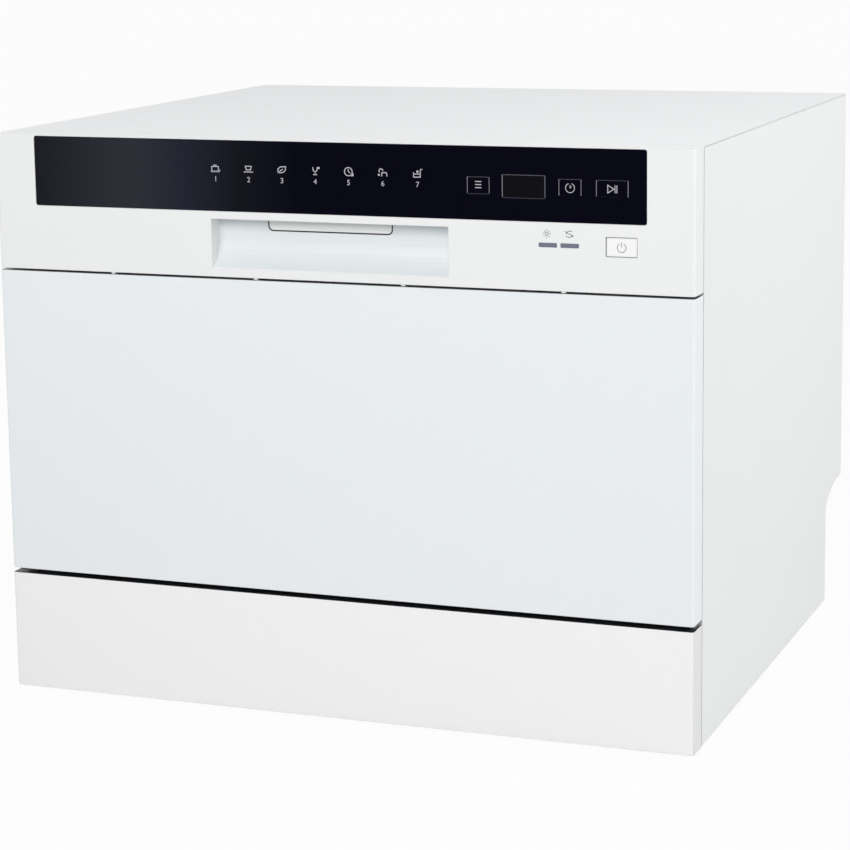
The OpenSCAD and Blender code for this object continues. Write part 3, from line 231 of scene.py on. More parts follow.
def add_grain(tree, shader, grain, bump, detail=3.0, stretch=(1, 1, 1), edge=0.6):
    """Adds a fine bump and rounded edges. The grain and the edge are sizes in millimetres."""
    coords = node(tree, "ShaderNodeTexCoord")
    mapping = node(tree, "ShaderNodeMapping", [(coords.outputs["Object"], "Vector")], in_Scale=stretch)
    noise = node(tree, "ShaderNodeTexNoise", [(mapping.outputs[0], "Vector")],
                 in_Scale=1 / (grain * MM), in_Detail=detail)
    rounded = node(tree, "ShaderNodeBevel", samples=BEVEL_SAMPLES, in_Radius=edge * MM)
    relief = node(tree, "ShaderNodeBump", [(noise.outputs["Fac"], "Height"), (rounded.outputs[0], "Normal")],
                  in_Strength=bump, in_Distance=BUMP_HEIGHT * MM)
    tree.links.new(relief.outputs[0], shader.inputs["Normal"])
    return noise


def add_finish(key, name, colour, roughness, grain, bump, detail=3.0, stretch=(1, 1, 1), edge=0.6, **gloss):
    """Keeps a new material with its grain under a short key. Returns its tree, shader and noise."""
    made, tree, shader = material(name, colour, roughness, **gloss)
    finish[key] = made
    return tree, shader, add_grain(tree, shader, grain, bump, detail, stretch, edge)


print("a bump is up to", BUMP_HEIGHT, "mm high")

# %% [markdown]
# ## Two shades on one solid
# A few solids show two shades: the door's top flange and the kick plate's flange get a painted shadow where
# they lie in a gap, the kick plate's right-hand end a painted shade, and the handle pocket a painted shade a
# little cooler than the panel round it. Here a patch of colour has limits on the solid's coordinates, so it
# stays in its place when the door swings.

# %% Patches of colour
X, Y, Z = 0, 1, 2
# the colour sockets of a Mix node: A, B and the result
MIX_A, MIX_B, MIX_RESULT = 6, 7, 2


def shade_where(key, *patches):
    """Paints parts of a finish. A patch is a colour and its limits (axis, low, high) in millimetres."""
    tree = finish[key].node_tree
    base = tree.nodes["Principled BSDF"].inputs["Base Color"]
    coords = node(tree, "ShaderNodeTexCoord")
    split = node(tree, "ShaderNodeSeparateXYZ", [(coords.outputs["Object"], 0)])
    below = None
    for colour, limits in patches:
        inside = None
        for axis, low, high in limits:
            for operation, limit in (("GREATER_THAN", low), ("LESS_THAN", high)):
                test = node(tree, "ShaderNodeMath", [(split.outputs[axis], 0)],
                            operation=operation, in_1=limit * MM)
                if inside is not None:
                    test = node(tree, "ShaderNodeMath", [(inside, 0), (test.outputs[0], 1)],
                                operation="MULTIPLY")
                inside = test.outputs[0]
        paint = node(tree, "ShaderNodeMix", [(inside, 0)], data_type="RGBA")
        paint.inputs[MIX_B].default_value = linear(colour)
        if below is None:
            paint.inputs[MIX_A].default_value = base.default_value[:]
        else:
            tree.links.new(below, paint.inputs[MIX_A])
        below = paint.outputs[MIX_RESULT]
    tree.links.new(below, base)


print("axes of a patch:", X, Y, Z)

# %% [markdown]
# ## White enamel
# The top, the two sides and the door's skin are sheet steel with baked white enamel. It is smooth and
# even, with a soft gloss and a very slight waviness. A lower specular level than the usual 0.5 keeps
# the white surround from laying a veil over the side that is seen at a slant.

# %% Enamel
# baked enamel, whose soft gloss shows a slight waviness
add_finish("white_enamel", "white baked enamel", "F1F2F2", 0.34, grain=4.17, bump=0.06, specular=0.22)
# the door's enamel, a little cooler, with a thin glassy skin
add_finish("door_enamel", "white door enamel", "EEF2F4", 0.3, grain=4.17, bump=0.05, coat=0.2)
# a painted shadow on the door's top flange, which lies in the seam under the control panel
DOOR_TOP = 333.2
shade_where("door_enamel", ("67696D", ((Z, DOOR_TOP - 0.2, DOOR_TOP + 1),)))
print("finishes:", len(finish))

# %% [markdown]
# ## White mouldings
# The control panel, the kick plate, the release lever and the power button are moulded in white ABS.
# One material would do for all of them, but in the photograph each takes the light in its own way, so the
# panel and the kick plate have a painted shade of their own over the same plastic: the panel a shade darker,
# the kick plate in patches.

# %% White ABS
ABS_ROUGHNESS, ABS_GRAIN, ABS_BUMP = 0.36, 1.11, 0.05
# moulded ABS, smooth and semi-glossy, its grain drawn coarser than the real 0.2 mm so that it shows:
# release lever, power button, connection panel and the parts of the water system
add_finish("white_plastic", "white ABS plastic", "F8F8F7", ABS_ROUGHNESS, ABS_GRAIN, ABS_BUMP)
# the same ABS on the control panel, a shade darker as painted shade
add_finish("panel_plastic", "white ABS panel plastic", "F1F2F1", ABS_ROUGHNESS, ABS_GRAIN, ABS_BUMP)
# painted shade in the handle pocket: its walls cooler and slightly greyer than the panel's face
shade_where("panel_plastic", ("E5EAEB", ((X, -94.7, 95), (Y, -248.6, -200), (Z, 340, 379.5))))
# the same ABS on the kick plate
add_finish("kick_plastic", "white ABS kick plate plastic", "F8F8F7", ABS_ROUGHNESS, ABS_GRAIN, ABS_BUMP)
# painted shade on the kick plate's right-hand end, a little greyer, and a painted shadow on the flange in the
# gap under the door
kick_side_shade = ("E9E9EA", ((X, 274.1, 280),))
kick_gap_shadow = ("17181D", ((Z, 93.4, 95),))
shade_where("kick_plastic", kick_side_shade, kick_gap_shadow)
print("finishes:", len(finish))

# %% [markdown]
# ## Metals
# The rear panel, the hinges and the screws are zinc-plated steel, the tub and the inner door are
# stainless steel. Plating grows in coarse pale and dark flakes, which a colour ramp on the noise
# draws. Rolled stainless steel has streaks one way, so its noise is drawn out along X and drives the
# roughness.

# %% Metals
# zinc plating, a dull metal with a faint spangle
tree, shader, noise = add_finish("zinc_steel", "zinc-plated steel", "B4B8BC", 0.38, grain=11.1, bump=0.08,
                                 detail=1.0, metallic=1.0)
spangle = node(tree, "ShaderNodeValToRGB", [(noise.outputs["Fac"], "Fac")])
spangle.color_ramp.elements[0].color = linear("9EA3A8")
spangle.color_ramp.elements[1].color = linear("C6CACD")
tree.links.new(spangle.outputs[0], shader.inputs["Base Color"])
# brushed stainless steel, whose streaks along X catch the light by turns, drawn wide enough to show
tree, shader, noise = add_finish("stainless", "brushed stainless steel", "C9C9C6", 0.3, grain=6.25, bump=0.05,
                                 stretch=(0.05, 1, 1), metallic=1.0)
streak = node(tree, "ShaderNodeMapRange", [(noise.outputs["Fac"], "Value")], in_To_Min=0.24, in_To_Max=0.4)
tree.links.new(streak.outputs[0], shader.inputs["Roughness"])
# plated steel, nearly a mirror
add_finish("chrome_pin", "plated steel pin", "C8CACC", 0.16, grain=2.5, bump=0.02, metallic=1.0)
print("finishes:", len(finish))

# %% [markdown]
# ## Black overlay
# The strip across the control panel is black acrylic. In the photograph it is nearly black on the
# right and a dark grey towards the left, where it mirrors a paler part of the studio. A reflection
# would change from one view to the next, so the change is painted into the colour, along the strip.

# %% Black acrylic
OVERLAY_LEFT, OVERLAY_MIDDLE = -0.25, 0.0
# polished acrylic, quite smooth, with so low a gloss that it stays black before the white surround
black_acrylic, tree, shader = material("black acrylic", "030311", 0.2, specular=0.03)
finish["black_gloss"] = black_acrylic
coords = node(tree, "ShaderNodeTexCoord")
split = node(tree, "ShaderNodeSeparateXYZ", [(coords.outputs["Object"], 0)])
along = node(tree, "ShaderNodeMapRange", [(split.outputs[X], "Value")],
             in_From_Min=OVERLAY_LEFT, in_From_Max=OVERLAY_MIDDLE)
shade = node(tree, "ShaderNodeValToRGB", [(along.outputs[0], "Fac")])
steps = shade.color_ramp.elements
for place, colour in ((0.28, "2B2C34"), (0.38, "2D2E36"), (0.52, "232430"), (0.71, "12131C")):
    steps.new(place).color = linear(colour)
steps[0].color = linear("18191F")
steps[-1].position = 0.9
steps[-1].color = linear("030311")
tree.links.new(shade.outputs[0], shader.inputs["Base Color"])
# smoked acrylic over the display, smoother still
add_finish("window", "smoked acrylic window", "06060C", 0.12, grain=3.33, bump=0.01, specular=0.06)
print("colour steps along the overlay:", len(steps))

# %% [markdown]
# ## Plain plastics, rubbers and coatings
# Most hidden pieces are moulded polypropylene, which has a waxy, slightly matt look. Only the colour
# and the roughness differ from piece to piece, so a loop makes the four of them from one list. The
# seals and feet are rubber, with a coarser bump and hardly any gloss, and the rack's wires are dipped
# in nylon.

# %% Plastics, rubbers and coatings
# moulded polypropylene, waxy and slightly matt
for key, name, colour, roughness in (("black_plastic", "black polypropylene", "1B1B1D", 0.55),
                                     ("grey_plastic", "grey polypropylene", "7C8086", 0.5),
                                     ("light_plastic", "light grey polypropylene", "B9BDC1", 0.45),
                                     ("blue_plastic", "blue-grey polypropylene", "53647C", 0.5)):
    add_finish(key, name, colour, roughness, grain=0.714, bump=0.12)
# moulded rubber, matt and mottled
for key, name, colour in (("grey_rubber", "grey sealing rubber", "3B3C3F"),
                          ("black_rubber", "black rubber", "141414")):
    add_finish(key, name, colour, 0.75, grain=1.43, bump=0.25, specular=0.3)
# nylon dip coating, soft and slightly uneven
add_finish("coated_wire", "pale grey nylon coating", "C9CCCF", 0.42, grain=1.67, bump=0.1, edge=0.3)
# solder resist on a circuit board, a glossy lacquer
add_finish("circuit_board", "green circuit board", "1C5A36", 0.4, grain=3.33, bump=0.1, coat=0.5)
# tinted polycarbonate, clear-skinned and glossy
add_finish("lens_grey", "tinted polycarbonate lens", "6A6A80", 0.25, grain=3.33, bump=0.02, coat=0.4)
print("finishes:", len(finish))

# %% [markdown]
# ## Inks
# The symbols and numbers are screen printed, and the outlines partly so. Ink is matt and even, so each one is
# a plain colour. The outlines have several greys as painted highlight and painted shade, because the edges of
# the flush buttons catch the light on some sides and lie in the shade on others.

# %% Inks
# screen ink, matt and even, and the painted shade of outlines and gaps in dim and dark grey
for key, name, colour, roughness, specular in (("white_ink", "white screen ink", "CACAD2", 0.6, 0.5),
                                               ("grey_ink", "grey screen ink", "8A8A92", 0.6, 0.5),
                                               ("shaded_outline_ink", "dim grey screen ink", "4A4A55", 0.5, 0.5),
                                               ("dark_ink_and_gap_shade", "dark grey groove paint", "5A5C62", 0.6, 0.5),
                                               ("gap_shadow", "dark gap paint", "34353A", 0.7, 0.2)):
    add_finish(key, name, colour, roughness, grain=0.5, bump=0.02, specular=specular)
print("finishes:", len(finish))

# %% [markdown]
# ## Finishes on the CAD solids
# The record already names a material slot for every solid, so most take the finish of that slot. A few get
# one of their own: the door's cooler enamel, the panel's and the kick plate's painted shades, and plastics
# that differ within one slot.

# %% Dress the solids
own_finish = {
    "outer_door_panel": "door_enamel",
    "control_panel": "panel_plastic",
    "kick_plate": "kick_plastic",
    "display_window": "window",
    "cutlery_basket": "blue_plastic",
    "rinse_cap": "blue_plastic",
    "cup_shelf": "light_plastic",
    "dispenser": "light_plastic",
    "float": "light_plastic",
    "detergent_lid": "grey_plastic",
    "spray_post": "grey_plastic",
}
slot_of = {part["node"]: part["material_slot"] for part in frame["record"]["subparts"]}
for name, obj in frame["nodes"].items():
    dress = finish[own_finish.get(name, slot_of[name])]
    if not obj.material_slots:
        obj.data.materials.append(dress)
    for place in obj.material_slots:
        place.material = dress
print("dressed", len(frame["nodes"]), "solids")

# %% [markdown]
# ## One wire, repeated
# The rack is one welded basket of a few repeated wires. A Geometry Nodes tree turns one bent centre
# line into a round wire and repeats it along a line, so each family of wires is one small call. A loop
# could copy a mesh for each wire too, but the tree keeps radius, number and pitch as named inputs.

# %% The wire tree


def wire_tree():
    """Centre line in; round wires out, repeated Count times at Offset."""
    group = bpy.data.node_groups.new("repeated_wire", "GeometryNodeTree")
    face = group.interface
    face.new_socket("Geometry", in_out="INPUT", socket_type="NodeSocketGeometry")
    for name, kind in (("Radius", "NodeSocketFloat"), ("Sides", "NodeSocketInt"), ("Count", "NodeSocketInt"),
                       ("Offset", "NodeSocketVector"), ("Material", "NodeSocketMaterial")):
        face.new_socket(name, in_out="INPUT", socket_type=kind)
    face.new_socket("Geometry", in_out="OUTPUT", socket_type="NodeSocketGeometry")
    start = node(group, "NodeGroupInput")
    given = start.outputs
    line = node(group, "GeometryNodeMeshToCurve", [(given["Geometry"], "Mesh")])
    ring = node(group, "GeometryNodeCurvePrimitiveCircle",
                [(given["Radius"], "Radius"), (given["Sides"], "Resolution")])
    tube = node(group, "GeometryNodeCurveToMesh",
                [(line.outputs[0], "Curve"), (ring.outputs[0], "Profile Curve")], in_Fill_Caps=True)
    smooth = node(group, "GeometryNodeSetShadeSmooth", [(tube.outputs[0], "Geometry")])
    row = node(group, "GeometryNodeMeshLine", [(given["Count"], "Count"), (given["Offset"], "Offset")])
    copies = node(group, "GeometryNodeInstanceOnPoints",
                  [(row.outputs[0], "Points"), (smooth.outputs[0], "Instance")])
    real = node(group, "GeometryNodeRealizeInstances", [(copies.outputs[0], "Geometry")])
    coated = node(group, "GeometryNodeSetMaterial",
                  [(real.outputs[0], "Geometry"), (given["Material"], "Material")])
    node(group, "NodeGroupOutput", [(coated.outputs[0], 0)])
    return group


WIRES = wire_tree()
print("wire tree:", len(WIRES.nodes), "nodes")

# %% [markdown]
# ## Bending and welding
# A real wire is bent round a die, so its corners are round. Every corner of a centre line is replaced
# by a short curve, and the tree then sweeps the wire along it. The finished families are joined to one
# mesh, as welding makes them one basket.

# %% Wire helpers
WIRE_SIDES, BEND_STEPS = 12, 4
# the longest share of a straight that one bend may take
BEND_SHARE = 0.48


def bend(points, radius):
    """A polyline in millimetres with its inner corners rounded to the given size."""
    out = [Vector(points[0])]
    for before, corner, after in zip(points, points[1:], points[2:]):
        corner = Vector(corner)
        back, onward = Vector(before) - corner, Vector(after) - corner
        cut = min(radius, back.length * BEND_SHARE, onward.length * BEND_SHARE)
        enter, leave = corner + back.normalized() * cut, corner + onward.normalized() * cut
        for i in range(BEND_STEPS + 1):
            share = i / BEND_STEPS
            out.append(enter.lerp(corner, share).lerp(corner.lerp(leave, share), share))
    return out + [Vector(points[-1])]


def evaluated_mesh(obj):
    """A plain mesh of what an object's modifiers, or a text, come to."""
    depsgraph = bpy.context.evaluated_depsgraph_get()
    depsgraph.update()
    return bpy.data.meshes.new_from_object(obj.evaluated_get(depsgraph))


def run_tree(obj, group, **values):
    """Applies a Geometry Nodes tree to an object and leaves a plain mesh behind."""
    modifier = obj.modifiers.new("tree", "NODES")
    modifier.node_group = group
    for item in group.interface.items_tree:
        if item.in_out == "INPUT" and item.name in values:
            modifier[item.identifier] = values[item.name]
    mesh = evaluated_mesh(obj)
    obj.modifiers.remove(modifier)
    obj.data = mesh


def wires(name, points, radius, count=1, offset=(0, 0, 0), corner=6, closed=False):
    """One bent wire repeated count times at the offset, all in millimetres."""
    line = bend(points, corner)
    edges = [(i, i + 1) for i in range(len(line) - 1)]
    if closed:
        line = line[:-1]
        edges = [(i, (i + 1) % len(line)) for i in range(len(line))]
    mesh = bpy.data.meshes.new(name)
    mesh.from_pydata([place * MM for place in line], edges, [])
    obj = plain_object(name, mesh)
    run_tree(obj, WIRES, Radius=radius * MM, Sides=WIRE_SIDES, Count=count,
             Offset=Vector(offset) * MM, Material=finish["coated_wire"])
    return obj


def join(name, objects):
    """Joins objects to the first one, under a new name."""
    bpy.ops.object.select_all(action="DESELECT")
    for obj in objects:
        obj.select_set(True)
    bpy.context.view_layer.objects.active = objects[0]
    bpy.ops.object.join()
    objects[0].name = name
    return objects[0]


print("a bend has", BEND_STEPS + 1, "points and a wire", WIRE_SIDES, "sides")

# %% [markdown]
# ## The dish rack
# A thick rim and a thinner waist wire hold U-shaped cross wires and the long wires that run down the
# nose, over the floor and up the rear. Rows of tines stand on the cross wires. The CAD solids carry the
# rack's collision as flat mats, walls and single tines, and this basket takes their place to the eye.

# %% The rack's walls and floor
# the rim's centre line, and how far inside it the walls' wires stand
RIM_HALF, RIM_FRONT, RIM_REAR, RIM_Z, WALL_INSET = 219.5, -195.5, 169.5, 232, 3.8
RING_CORNER, WAIST_Z, WAIST_INSET = 14, 202.45, 0.6
# radii of the wires
RIM_WIRE, WALL_WIRE, LONG_WIRE, TINE_WIRE = 2.5, 1.9, 1.8, 1.75
# the rails across the front
LOW_RAIL_Z, NOSE_RAIL_Y, NOSE_RAIL_Z, NOSE_RAIL_STEP = 172.9, -175.1, 162.7, (0, 17.2, -7)
RAIL_GAP = 5
# the cross wires: the first one's place, their pitch and number, their height on the floor, their bends
CROSS_Y, CROSS_PITCH, CROSS_COUNT, CROSS_Z, CROSS_CORNER = -141.5, 25, 12, 144.2, 9
# the long wires, with the sloping stretch at the nose
LONG_COUNT, LONG_PITCH, LONG_Z, LONG_CORNER = 9, 404 / 9, 147.4, 7
NOSE_Z, NOSE_LENGTH = 164.9, 50

wall_x = RIM_HALF - WALL_INSET
long_x = -LONG_PITCH * (LONG_COUNT - 1) / 2
long_front, long_rear = RIM_FRONT + WALL_INSET, RIM_REAR - WALL_INSET


def ring_wire(name, z, radius, inset):
    """A closed wire round the rack, set in from the rim's centre line."""
    x, front, rear = RIM_HALF - inset, RIM_FRONT + inset, RIM_REAR - inset
    path = [(0, front, z), (x, front, z), (x, rear, z), (-x, rear, z), (-x, front, z), (0, front, z)]
    return wires(name, path, radius, corner=RING_CORNER, closed=True)


def rail(y, z):
    """The ends of a straight rail across the rack, which stops short of the side walls."""
    return [(-wall_x + RAIL_GAP, y, z), (wall_x - RAIL_GAP, y, z)]


cross_path = [(-wall_x, CROSS_Y, RIM_Z), (-wall_x, CROSS_Y, CROSS_Z),
              (wall_x, CROSS_Y, CROSS_Z), (wall_x, CROSS_Y, RIM_Z)]
long_path = [(long_x, long_front, RIM_Z), (long_x, long_front, NOSE_Z),
             (long_x, RIM_FRONT + NOSE_LENGTH, LONG_Z),
             (long_x, long_rear, LONG_Z), (long_x, long_rear, RIM_Z)]
parts = [
    ring_wire("rim", RIM_Z, RIM_WIRE, 0),
    ring_wire("waist", WAIST_Z, WALL_WIRE, WAIST_INSET),
    wires("low_rail", rail(RIM_FRONT + WAIST_INSET, LOW_RAIL_Z), WALL_WIRE),
    wires("nose_rails", rail(NOSE_RAIL_Y, NOSE_RAIL_Z), WALL_WIRE, 2, NOSE_RAIL_STEP),
    wires("cross_wires", cross_path, WALL_WIRE, CROSS_COUNT, (0, CROSS_PITCH, 0), corner=CROSS_CORNER),
    wires("long_wires", long_path, LONG_WIRE, LONG_COUNT, (LONG_PITCH, 0, 0), corner=LONG_CORNER),
]
print("families of wires:", len(parts))

# %% [markdown]
# ## Tines and the shelf's rod
# The tines hold plates upright, so they stand in rows, one on every cross wire but the outer two. The
# rod beside the left wall is the cup shelf's hinge, on two small brackets. With these the basket is
# complete, and it rides on the rack's body in the place of the three CAD solids.

# %% Tines, rod and the finished basket
TINE_X, TINE_ROW_PITCH, TINE_ROWS = -121, 68, 4
TINE_LOW, TINE_HIGH = 1.5, 62
ROD_X, ROD_FRONT, ROD_REAR, ROD_Z, ROD_WIRE = -211.5, -154, 104, 242, 2.0
BRACKET_INSET, BRACKET_WIRE = 4, 1.7

for row in range(TINE_ROWS):
    x, y = TINE_X + row * TINE_ROW_PITCH, CROSS_Y + CROSS_PITCH
    tine = [(x, y, CROSS_Z + TINE_LOW), (x, y, CROSS_Z + TINE_HIGH)]
    parts.append(wires("tines", tine, TINE_WIRE, CROSS_COUNT - 2, (0, CROSS_PITCH, 0)))
parts.append(wires("shelf_rod", [(ROD_X, ROD_FRONT, ROD_Z), (ROD_X, ROD_REAR, ROD_Z)], ROD_WIRE))
for y in (ROD_FRONT + BRACKET_INSET, ROD_REAR - BRACKET_INSET):
    parts.append(wires("shelf_bracket", [(ROD_X, y, ROD_Z), (-RIM_HALF, y, RIM_Z)], BRACKET_WIRE))
rack_wires = join("rack_wires", parts)
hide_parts("rack_floor", "rack_walls", "rack_tines")
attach(rack_wires, "dish_rack")
print("rack wires:", len(rack_wires.data.polygons), "faces")

# %% [markdown]
# ## Lines of ink
# The overlay carries a row of programme symbols over plain numbers, and each button has its own
# symbol. An image would blur close up, so every mark is a thin ribbon of real mesh along a line that
# is drawn in millimetres, a hair proud of its surface.

# %% Ribbon
MITRE_LIMIT, STRAIGHT = 0.5, 1e-6


def ribbon(lines, width):
    """Vertices and faces in XZ for lines given as (points, closed), with mitred corners."""
    verts, faces = [], []
    for points, closed in lines:
        places = [Vector(point) for point in points]
        total = len(places)
        first = len(verts)
        for i, place in enumerate(places):
            before = (place - places[i - 1]).normalized() if closed or i else None
            after = (places[(i + 1) % total] - place).normalized() if closed or i < total - 1 else None
            before = after if before is None else before
            after = before if after is None else after
            tangent = before + after
            tangent = tangent.normalized() if tangent.length > STRAIGHT else after
            normal = Vector((-tangent.y, tangent.x))
            side = Vector((-after.y, after.x))
            half = width / 2 / max(normal.dot(side), MITRE_LIMIT)
            verts += [place + normal * half, place - normal * half]
        for i in range(total if closed else total - 1):
            here, there = first + 2 * i, first + 2 * ((i + 1) % total)
            faces.append((here, here + 1, there + 1, there))
    return verts, faces


print("a mitre is at most", round(1 / MITRE_LIMIT), "times as wide as its line")

# %% [markdown]
# ## A mark on its face
# Five faces carry ink: the overlay, the three small buttons in it, the white panel, the power button
# and the back of the pocket. Each stands at its own depth and has its own plastic below, so the two are
# kept together. Every mark gets its thickness from Solidify and rides with the body it is printed on.

# %% Marks
INK_THICKNESS = 0.06
# the depth in millimetres of each printed face, and the slot of the solid below it
OVERLAY_FACE, KEY_FACE = (-249.7, "black_gloss"), (-249.65, "black_gloss")
PANEL_FACE, POWER_FACE = (-249.8, "white_plastic"), (-249.75, "white_plastic")
POCKET_FACE = (-235.85, "white_plastic")


def mark(name, lines, width, at, face, ink, body, blocks=()):
    """Lines and filled blocks as one thin piece on a body, their origin at the point (x, z)."""
    depth, slot = face
    verts, faces = ribbon(lines, width)
    for shape in blocks:
        first = len(verts)
        verts += [Vector(point) for point in shape]
        faces.append(tuple(range(first, first + len(shape))))
    mesh = bpy.data.meshes.new(name)
    mesh.from_pydata([((v.x + at[0]) * MM, depth * MM, (v.y + at[1]) * MM) for v in verts], [], faces)
    mesh.materials.append(finish[ink])
    obj = plain_object(name, mesh)
    for polygon in mesh.polygons:
        if polygon.normal.y > 0:
            polygon.flip()
    solid = obj.modifiers.new("thickness", "SOLIDIFY")
    solid.thickness = INK_THICKNESS * MM
    solid.offset = 1.0
    obj.data = evaluated_mesh(obj)
    obj.modifiers.clear()
    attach(obj, body)


def stroke(*points):
    """An open line."""
    return points, False


def loop(*points):
    """A closed line."""
    return points, True


def block(x0, z0, x1, z1):
    """The corners of a rectangle."""
    return (x0, z0), (x1, z0), (x1, z1), (x0, z1)


def arc(x, z, radius, start=0, end=360, steps=24):
    """A circle, or an arc between two angles in degrees."""
    closed = end - start >= 360
    angles = [math.radians(start + (end - start) * i / steps) for i in range(steps if closed else steps + 1)]
    return [(x + radius * math.cos(angle), z + radius * math.sin(angle)) for angle in angles], closed


print("ink is", INK_THICKNESS, "mm thick")

# %% [markdown]
# ## Programme symbols
# Seven simple pictures stand over the numerals 1 to 7. Each is a list of lines and a list of filled
# blocks, about 7 mm wide, drawn round its own middle. That way one loop can set them out along the
# overlay at the places measured in the photograph.

# %% Programme symbols
pan = [loop(*block(-3, -2.2, 2.4, 1.2)), stroke((2.4, -1.6), (4, -1.6)),
       stroke((-3.8, -2.6), (3.4, -2.6)), stroke((-1.6, 2.2), (1, 2.2))]
bowl = [loop((-2.4, 2), (-1.8, -0.6), (1.8, -0.6), (2.4, 2)), stroke((-3.8, -2.2), (3.8, -2.2))]
leaf = [stroke((-3.2, -2.2), (-3, 0.6), (-1, 2.2), (3.2, 2.4), (2.8, -0.4), (0.8, -2), (-3.2, -2.2)),
        stroke((-3.2, -2.2), (0.8, 0.6))]
glass = [stroke((-1.8, 2.6), (-1.4, 0), (0, -0.8), (1.4, 0), (1.8, 2.6)),
         stroke((0, -0.8), (0, -2.8)), stroke((-1.6, -2.8), (1.6, -2.8))]
dial = [arc(0, 0, 3), stroke((0, 1.8), (0, 0), (1.4, -0.8))]
shower = [arc(-1.2, 1.2, 1.5, 0, 220), stroke((-0.8, -2.8), (-0.4, 0), (3, 0), (3.4, -2.8))]
basin = [stroke((-3, 0.8), (-3, -2.6), (2.2, -2.6), (2.2, 3)), stroke((2.2, 3), (3.8, 3)),
         stroke((-3, -0.4), (2.2, -0.4))]
symbols = [
    (pan, []),
    (bowl, []),
    (leaf, []),
    (glass, [block(2.2, 1.4, 3.6, 2.8)]),
    (dial, [block(1.8, -3.2, 4, -1)]),
    (shower, [block(-3.6, -2.4, -2.2, -1)]),
    (basin, [block(-0.8, 0.6, 0.8, 2)]),
]
PROGRAMME_X = (-90.3, -63.6, -36.8, -10.3, 15.9, 42.6, 69.5)
SYMBOL_Z, SYMBOL_WIDTH = 415.8, 0.64
for i, (x, (lines, blocks)) in enumerate(zip(PROGRAMME_X, symbols)):
    mark(f"programme_symbol_{i + 1}", lines, SYMBOL_WIDTH, (x, SYMBOL_Z), OVERLAY_FACE,
         "white_ink", "door", blocks)
print("programme symbols:", len(symbols))

# %% [markdown]
# ## Numbers
# Numerals are best left to Blender's own font, as a text object. It is made a plain mesh first and then
# stood up in its place, so that the finished piece keeps its place in its mesh, like a CAD solid.

# %% Numbers
NUMBER_Z, NUMBER_HEIGHT, NUMBER_DEPTH = 407.7, 3.9, 0.03
# how much larger the font's size is than one of its numerals
FONT_SHARE = 1.42


def number(text, x):
    """A numeral on the overlay, centred at x."""
    curve = bpy.data.curves.new("number", "FONT")
    curve.body = text
    curve.size = NUMBER_HEIGHT * MM * FONT_SHARE
    curve.align_x = "CENTER"
    curve.align_y = "CENTER"
    curve.extrude = NUMBER_DEPTH * MM
    curve.resolution_u = 3
    holder = plain_object("number", curve)
    mesh = evaluated_mesh(holder)
    bpy.data.objects.remove(holder)
    depth, slot = OVERLAY_FACE
    place = Matrix.Translation((x * MM, (depth - NUMBER_DEPTH) * MM, NUMBER_Z * MM))
    mesh.transform(place @ Matrix.Rotation(math.pi / 2, 4, "X"))
    mesh.materials.clear()
    mesh.materials.append(finish["white_ink"])
    obj = plain_object(f"programme_number_{text}", mesh)
    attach(obj, "door")


for i, x in enumerate(PROGRAMME_X):
    number(str(i + 1), x)

# %% [markdown]
# ## Symbols on the buttons
# The four buttons carry a menu, a clock, a start and pause sign, and a power sign. They are printed on
# the buttons and not on the panel, so each rides on its own button and moves when that is pressed.

# %% Button symbols
KEY_Z = 408.5
PROGRAM_X, DISPLAY_X, DELAY_X, START_X = 115.7, 149.7, 184.1, 215.0
POWER_AT = (221.85, 367.65)

menu_lines = [stroke((-2.4, z), (2.4, z)) for z in (2.2, 0, -2.2)]
mark("program_symbol", menu_lines, 0.6, (PROGRAM_X, KEY_Z + 0.6), KEY_FACE, "white_ink", "program_button")
clock_lines = [arc(0, 0, 3.3, 110, 430), stroke((0, 2), (0, 0), (1.3, 0.9))]
mark("delay_symbol", clock_lines, 0.5, (DELAY_X, KEY_Z), KEY_FACE, "white_ink", "delay_button")
play_lines = [loop((-3.3, 2.8), (-3.3, -2.8), (1.2, 0)),
              stroke((2, 2.8), (2, -2.8)), stroke((3.4, 2.8), (3.4, -2.8))]
mark("start_symbol", play_lines, 0.55, (START_X, KEY_Z), KEY_FACE, "white_ink", "start_button")
power_lines = [arc(0, -0.3, 3.2, 120, 420), stroke((0, 3.6), (0, 0.2))]
mark("power_symbol", power_lines, 0.5, POWER_AT, POWER_FACE, "grey_ink", "power_button")

# %% [markdown]
# ## Outlines round the buttons and the window
# In the photograph the edges of the flush buttons catch the light on some sides and lie in the shade on
# others, so each outline is a set of short lines on some sides only: grey lines, partly print and partly
# painted highlight, where an edge catches the light, and dim or dark lines as painted shade where it lies in
# the shade. They stand just outside the gap round the button, on the door, so a pressed button moves inside
# its outline.

# %% Outlines
OUTLINE_OUTSET, SIDE_LIFT = 0.55, 0.6


def outline(name, at, size, face, outset=OUTLINE_OUTSET, **sides):
    """Lines on some sides of a rectangle. A side is left, right, top or bottom, as (ink, width)."""
    x, z = size[0] / 2 + outset, size[1] / 2 + outset
    ends = {"left": ((-x, -z + SIDE_LIFT), (-x, z)), "right": ((x, -z + SIDE_LIFT), (x, z)),
            "top": ((-x, z), (x, z)), "bottom": ((-x, -z), (x, -z))}
    for side, (ink, width) in sides.items():
        mark(f"{name}_{side}_line", [stroke(*ends[side])], width, at, face, ink, "door")
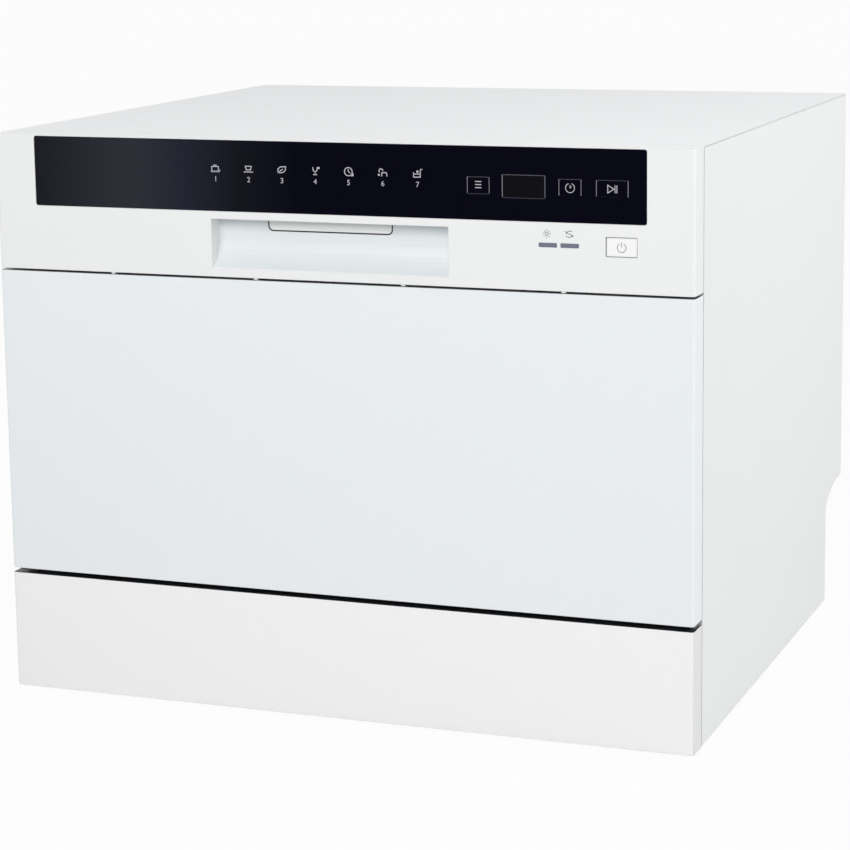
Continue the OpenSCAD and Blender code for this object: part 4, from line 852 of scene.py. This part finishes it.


# grey lines on the lit sides, partly print and partly painted highlight; dim and dark lines are painted shade
# on the shaded sides
outline("program", (PROGRAM_X, KEY_Z), (15.4, 11), OVERLAY_FACE,
        left=("grey_ink", 0.45), right=("grey_ink", 0.45), top=("shaded_outline_ink", 0.35), bottom=("shaded_outline_ink", 0.2))
outline("display", (DISPLAY_X, KEY_Z), (31.4, 16), OVERLAY_FACE, outset=0.2,
        left=("grey_ink", 0.55), right=("shaded_outline_ink", 0.8), top=("shaded_outline_ink", 0.5), bottom=("shaded_outline_ink", 0.25))
outline("delay", (DELAY_X, KEY_Z), (15.2, 11), OVERLAY_FACE,
        left=("grey_ink", 0.42), right=("grey_ink", 0.42), top=("shaded_outline_ink", 0.3))
outline("start", (START_X, KEY_Z), (22, 11), OVERLAY_FACE,
        left=("grey_ink", 0.45), right=("grey_ink", 0.5), top=("shaded_outline_ink", 0.25))
outline("power", POWER_AT, (22.3, 13.3), PANEL_FACE, outset=0.15,
        left=("dark_ink_and_gap_shade", 0.6), top=("dark_ink_and_gap_shade", 0.4), bottom=("dark_ink_and_gap_shade", 0.4))

# %% [markdown]
# ## Symbols over the indicator lenses
# A small sun and a bent arrow stand over the two lenses for rinse aid and salt. The sun's rays are one
# line repeated round a circle, so they come from a loop over its angles.

# %% Indicator symbols
RINSE_AT, SALT_AT = (166.8, 375.7), (183.1, 375.9)
SUN_RADIUS, RAY_START, RAY_END, RAYS = 1.1, 1.9, 2.9, 8

sun = [arc(0, 0, SUN_RADIUS, steps=12)]
for i in range(RAYS):
    angle = math.radians(360 / RAYS * i)
    sun.append(stroke((RAY_START * math.cos(angle), RAY_START * math.sin(angle)),
                      (RAY_END * math.cos(angle), RAY_END * math.sin(angle))))
mark("rinse_symbol", sun, 0.42, RINSE_AT, PANEL_FACE, "dark_ink_and_gap_shade", "door")
salt = [stroke((2.6, 1.8), (0.4, 2.2), (-1.4, 1.2), (-0.6, 0.2),
               (1.6, -0.2), (2.4, -1.4), (0.6, -2.4), (-2.2, -1.8)),
        stroke((-3, 1.6), (-1.4, 1.2), (-2, -0.2)),
        stroke((3.2, -0.6), (2.4, -1.6), (3.4, -2))]
mark("salt_symbol", salt, 0.45, SALT_AT, PANEL_FACE, "dark_ink_and_gap_shade", "door")
print("lines in the sun:", len(sun))

# %% [markdown]
# ## The gap round the release lever
# The release lever closes a slot in the back of the pocket, and the slot shows as a dark line round
# three of its sides. The real gap is thinner than a pixel, so a painted line on the panel stands for
# its shadow. It lies wholly on the panel's side, and the lever tilts without touching it.

# %% Lever gap
LEVER_AT, LEVER_HALF, LEVER_TALL = (-5.25, 369.4), 48.75, 8.4
GAP_OUTSET, GAP_CORNER, GAP_WIDTH, GAP_STEPS = 0.5, 3.5, 0.9, 5

gap_x = LEVER_HALF + GAP_OUTSET
corner_x, corner_z = gap_x - GAP_CORNER, GAP_CORNER - GAP_OUTSET
left_corner = arc(-corner_x, corner_z, GAP_CORNER, 180, 270, GAP_STEPS)[0]
right_corner = arc(corner_x, corner_z, GAP_CORNER, 270, 360, GAP_STEPS)[0]
gap_line = stroke((-gap_x, LEVER_TALL), (-gap_x, GAP_CORNER),
                  *left_corner, *right_corner, (gap_x, LEVER_TALL))
mark("lever_gap", [gap_line], GAP_WIDTH, LEVER_AT, POCKET_FACE, "gap_shadow", "door")
print("lever gap:", 2 * gap_x, "mm wide")
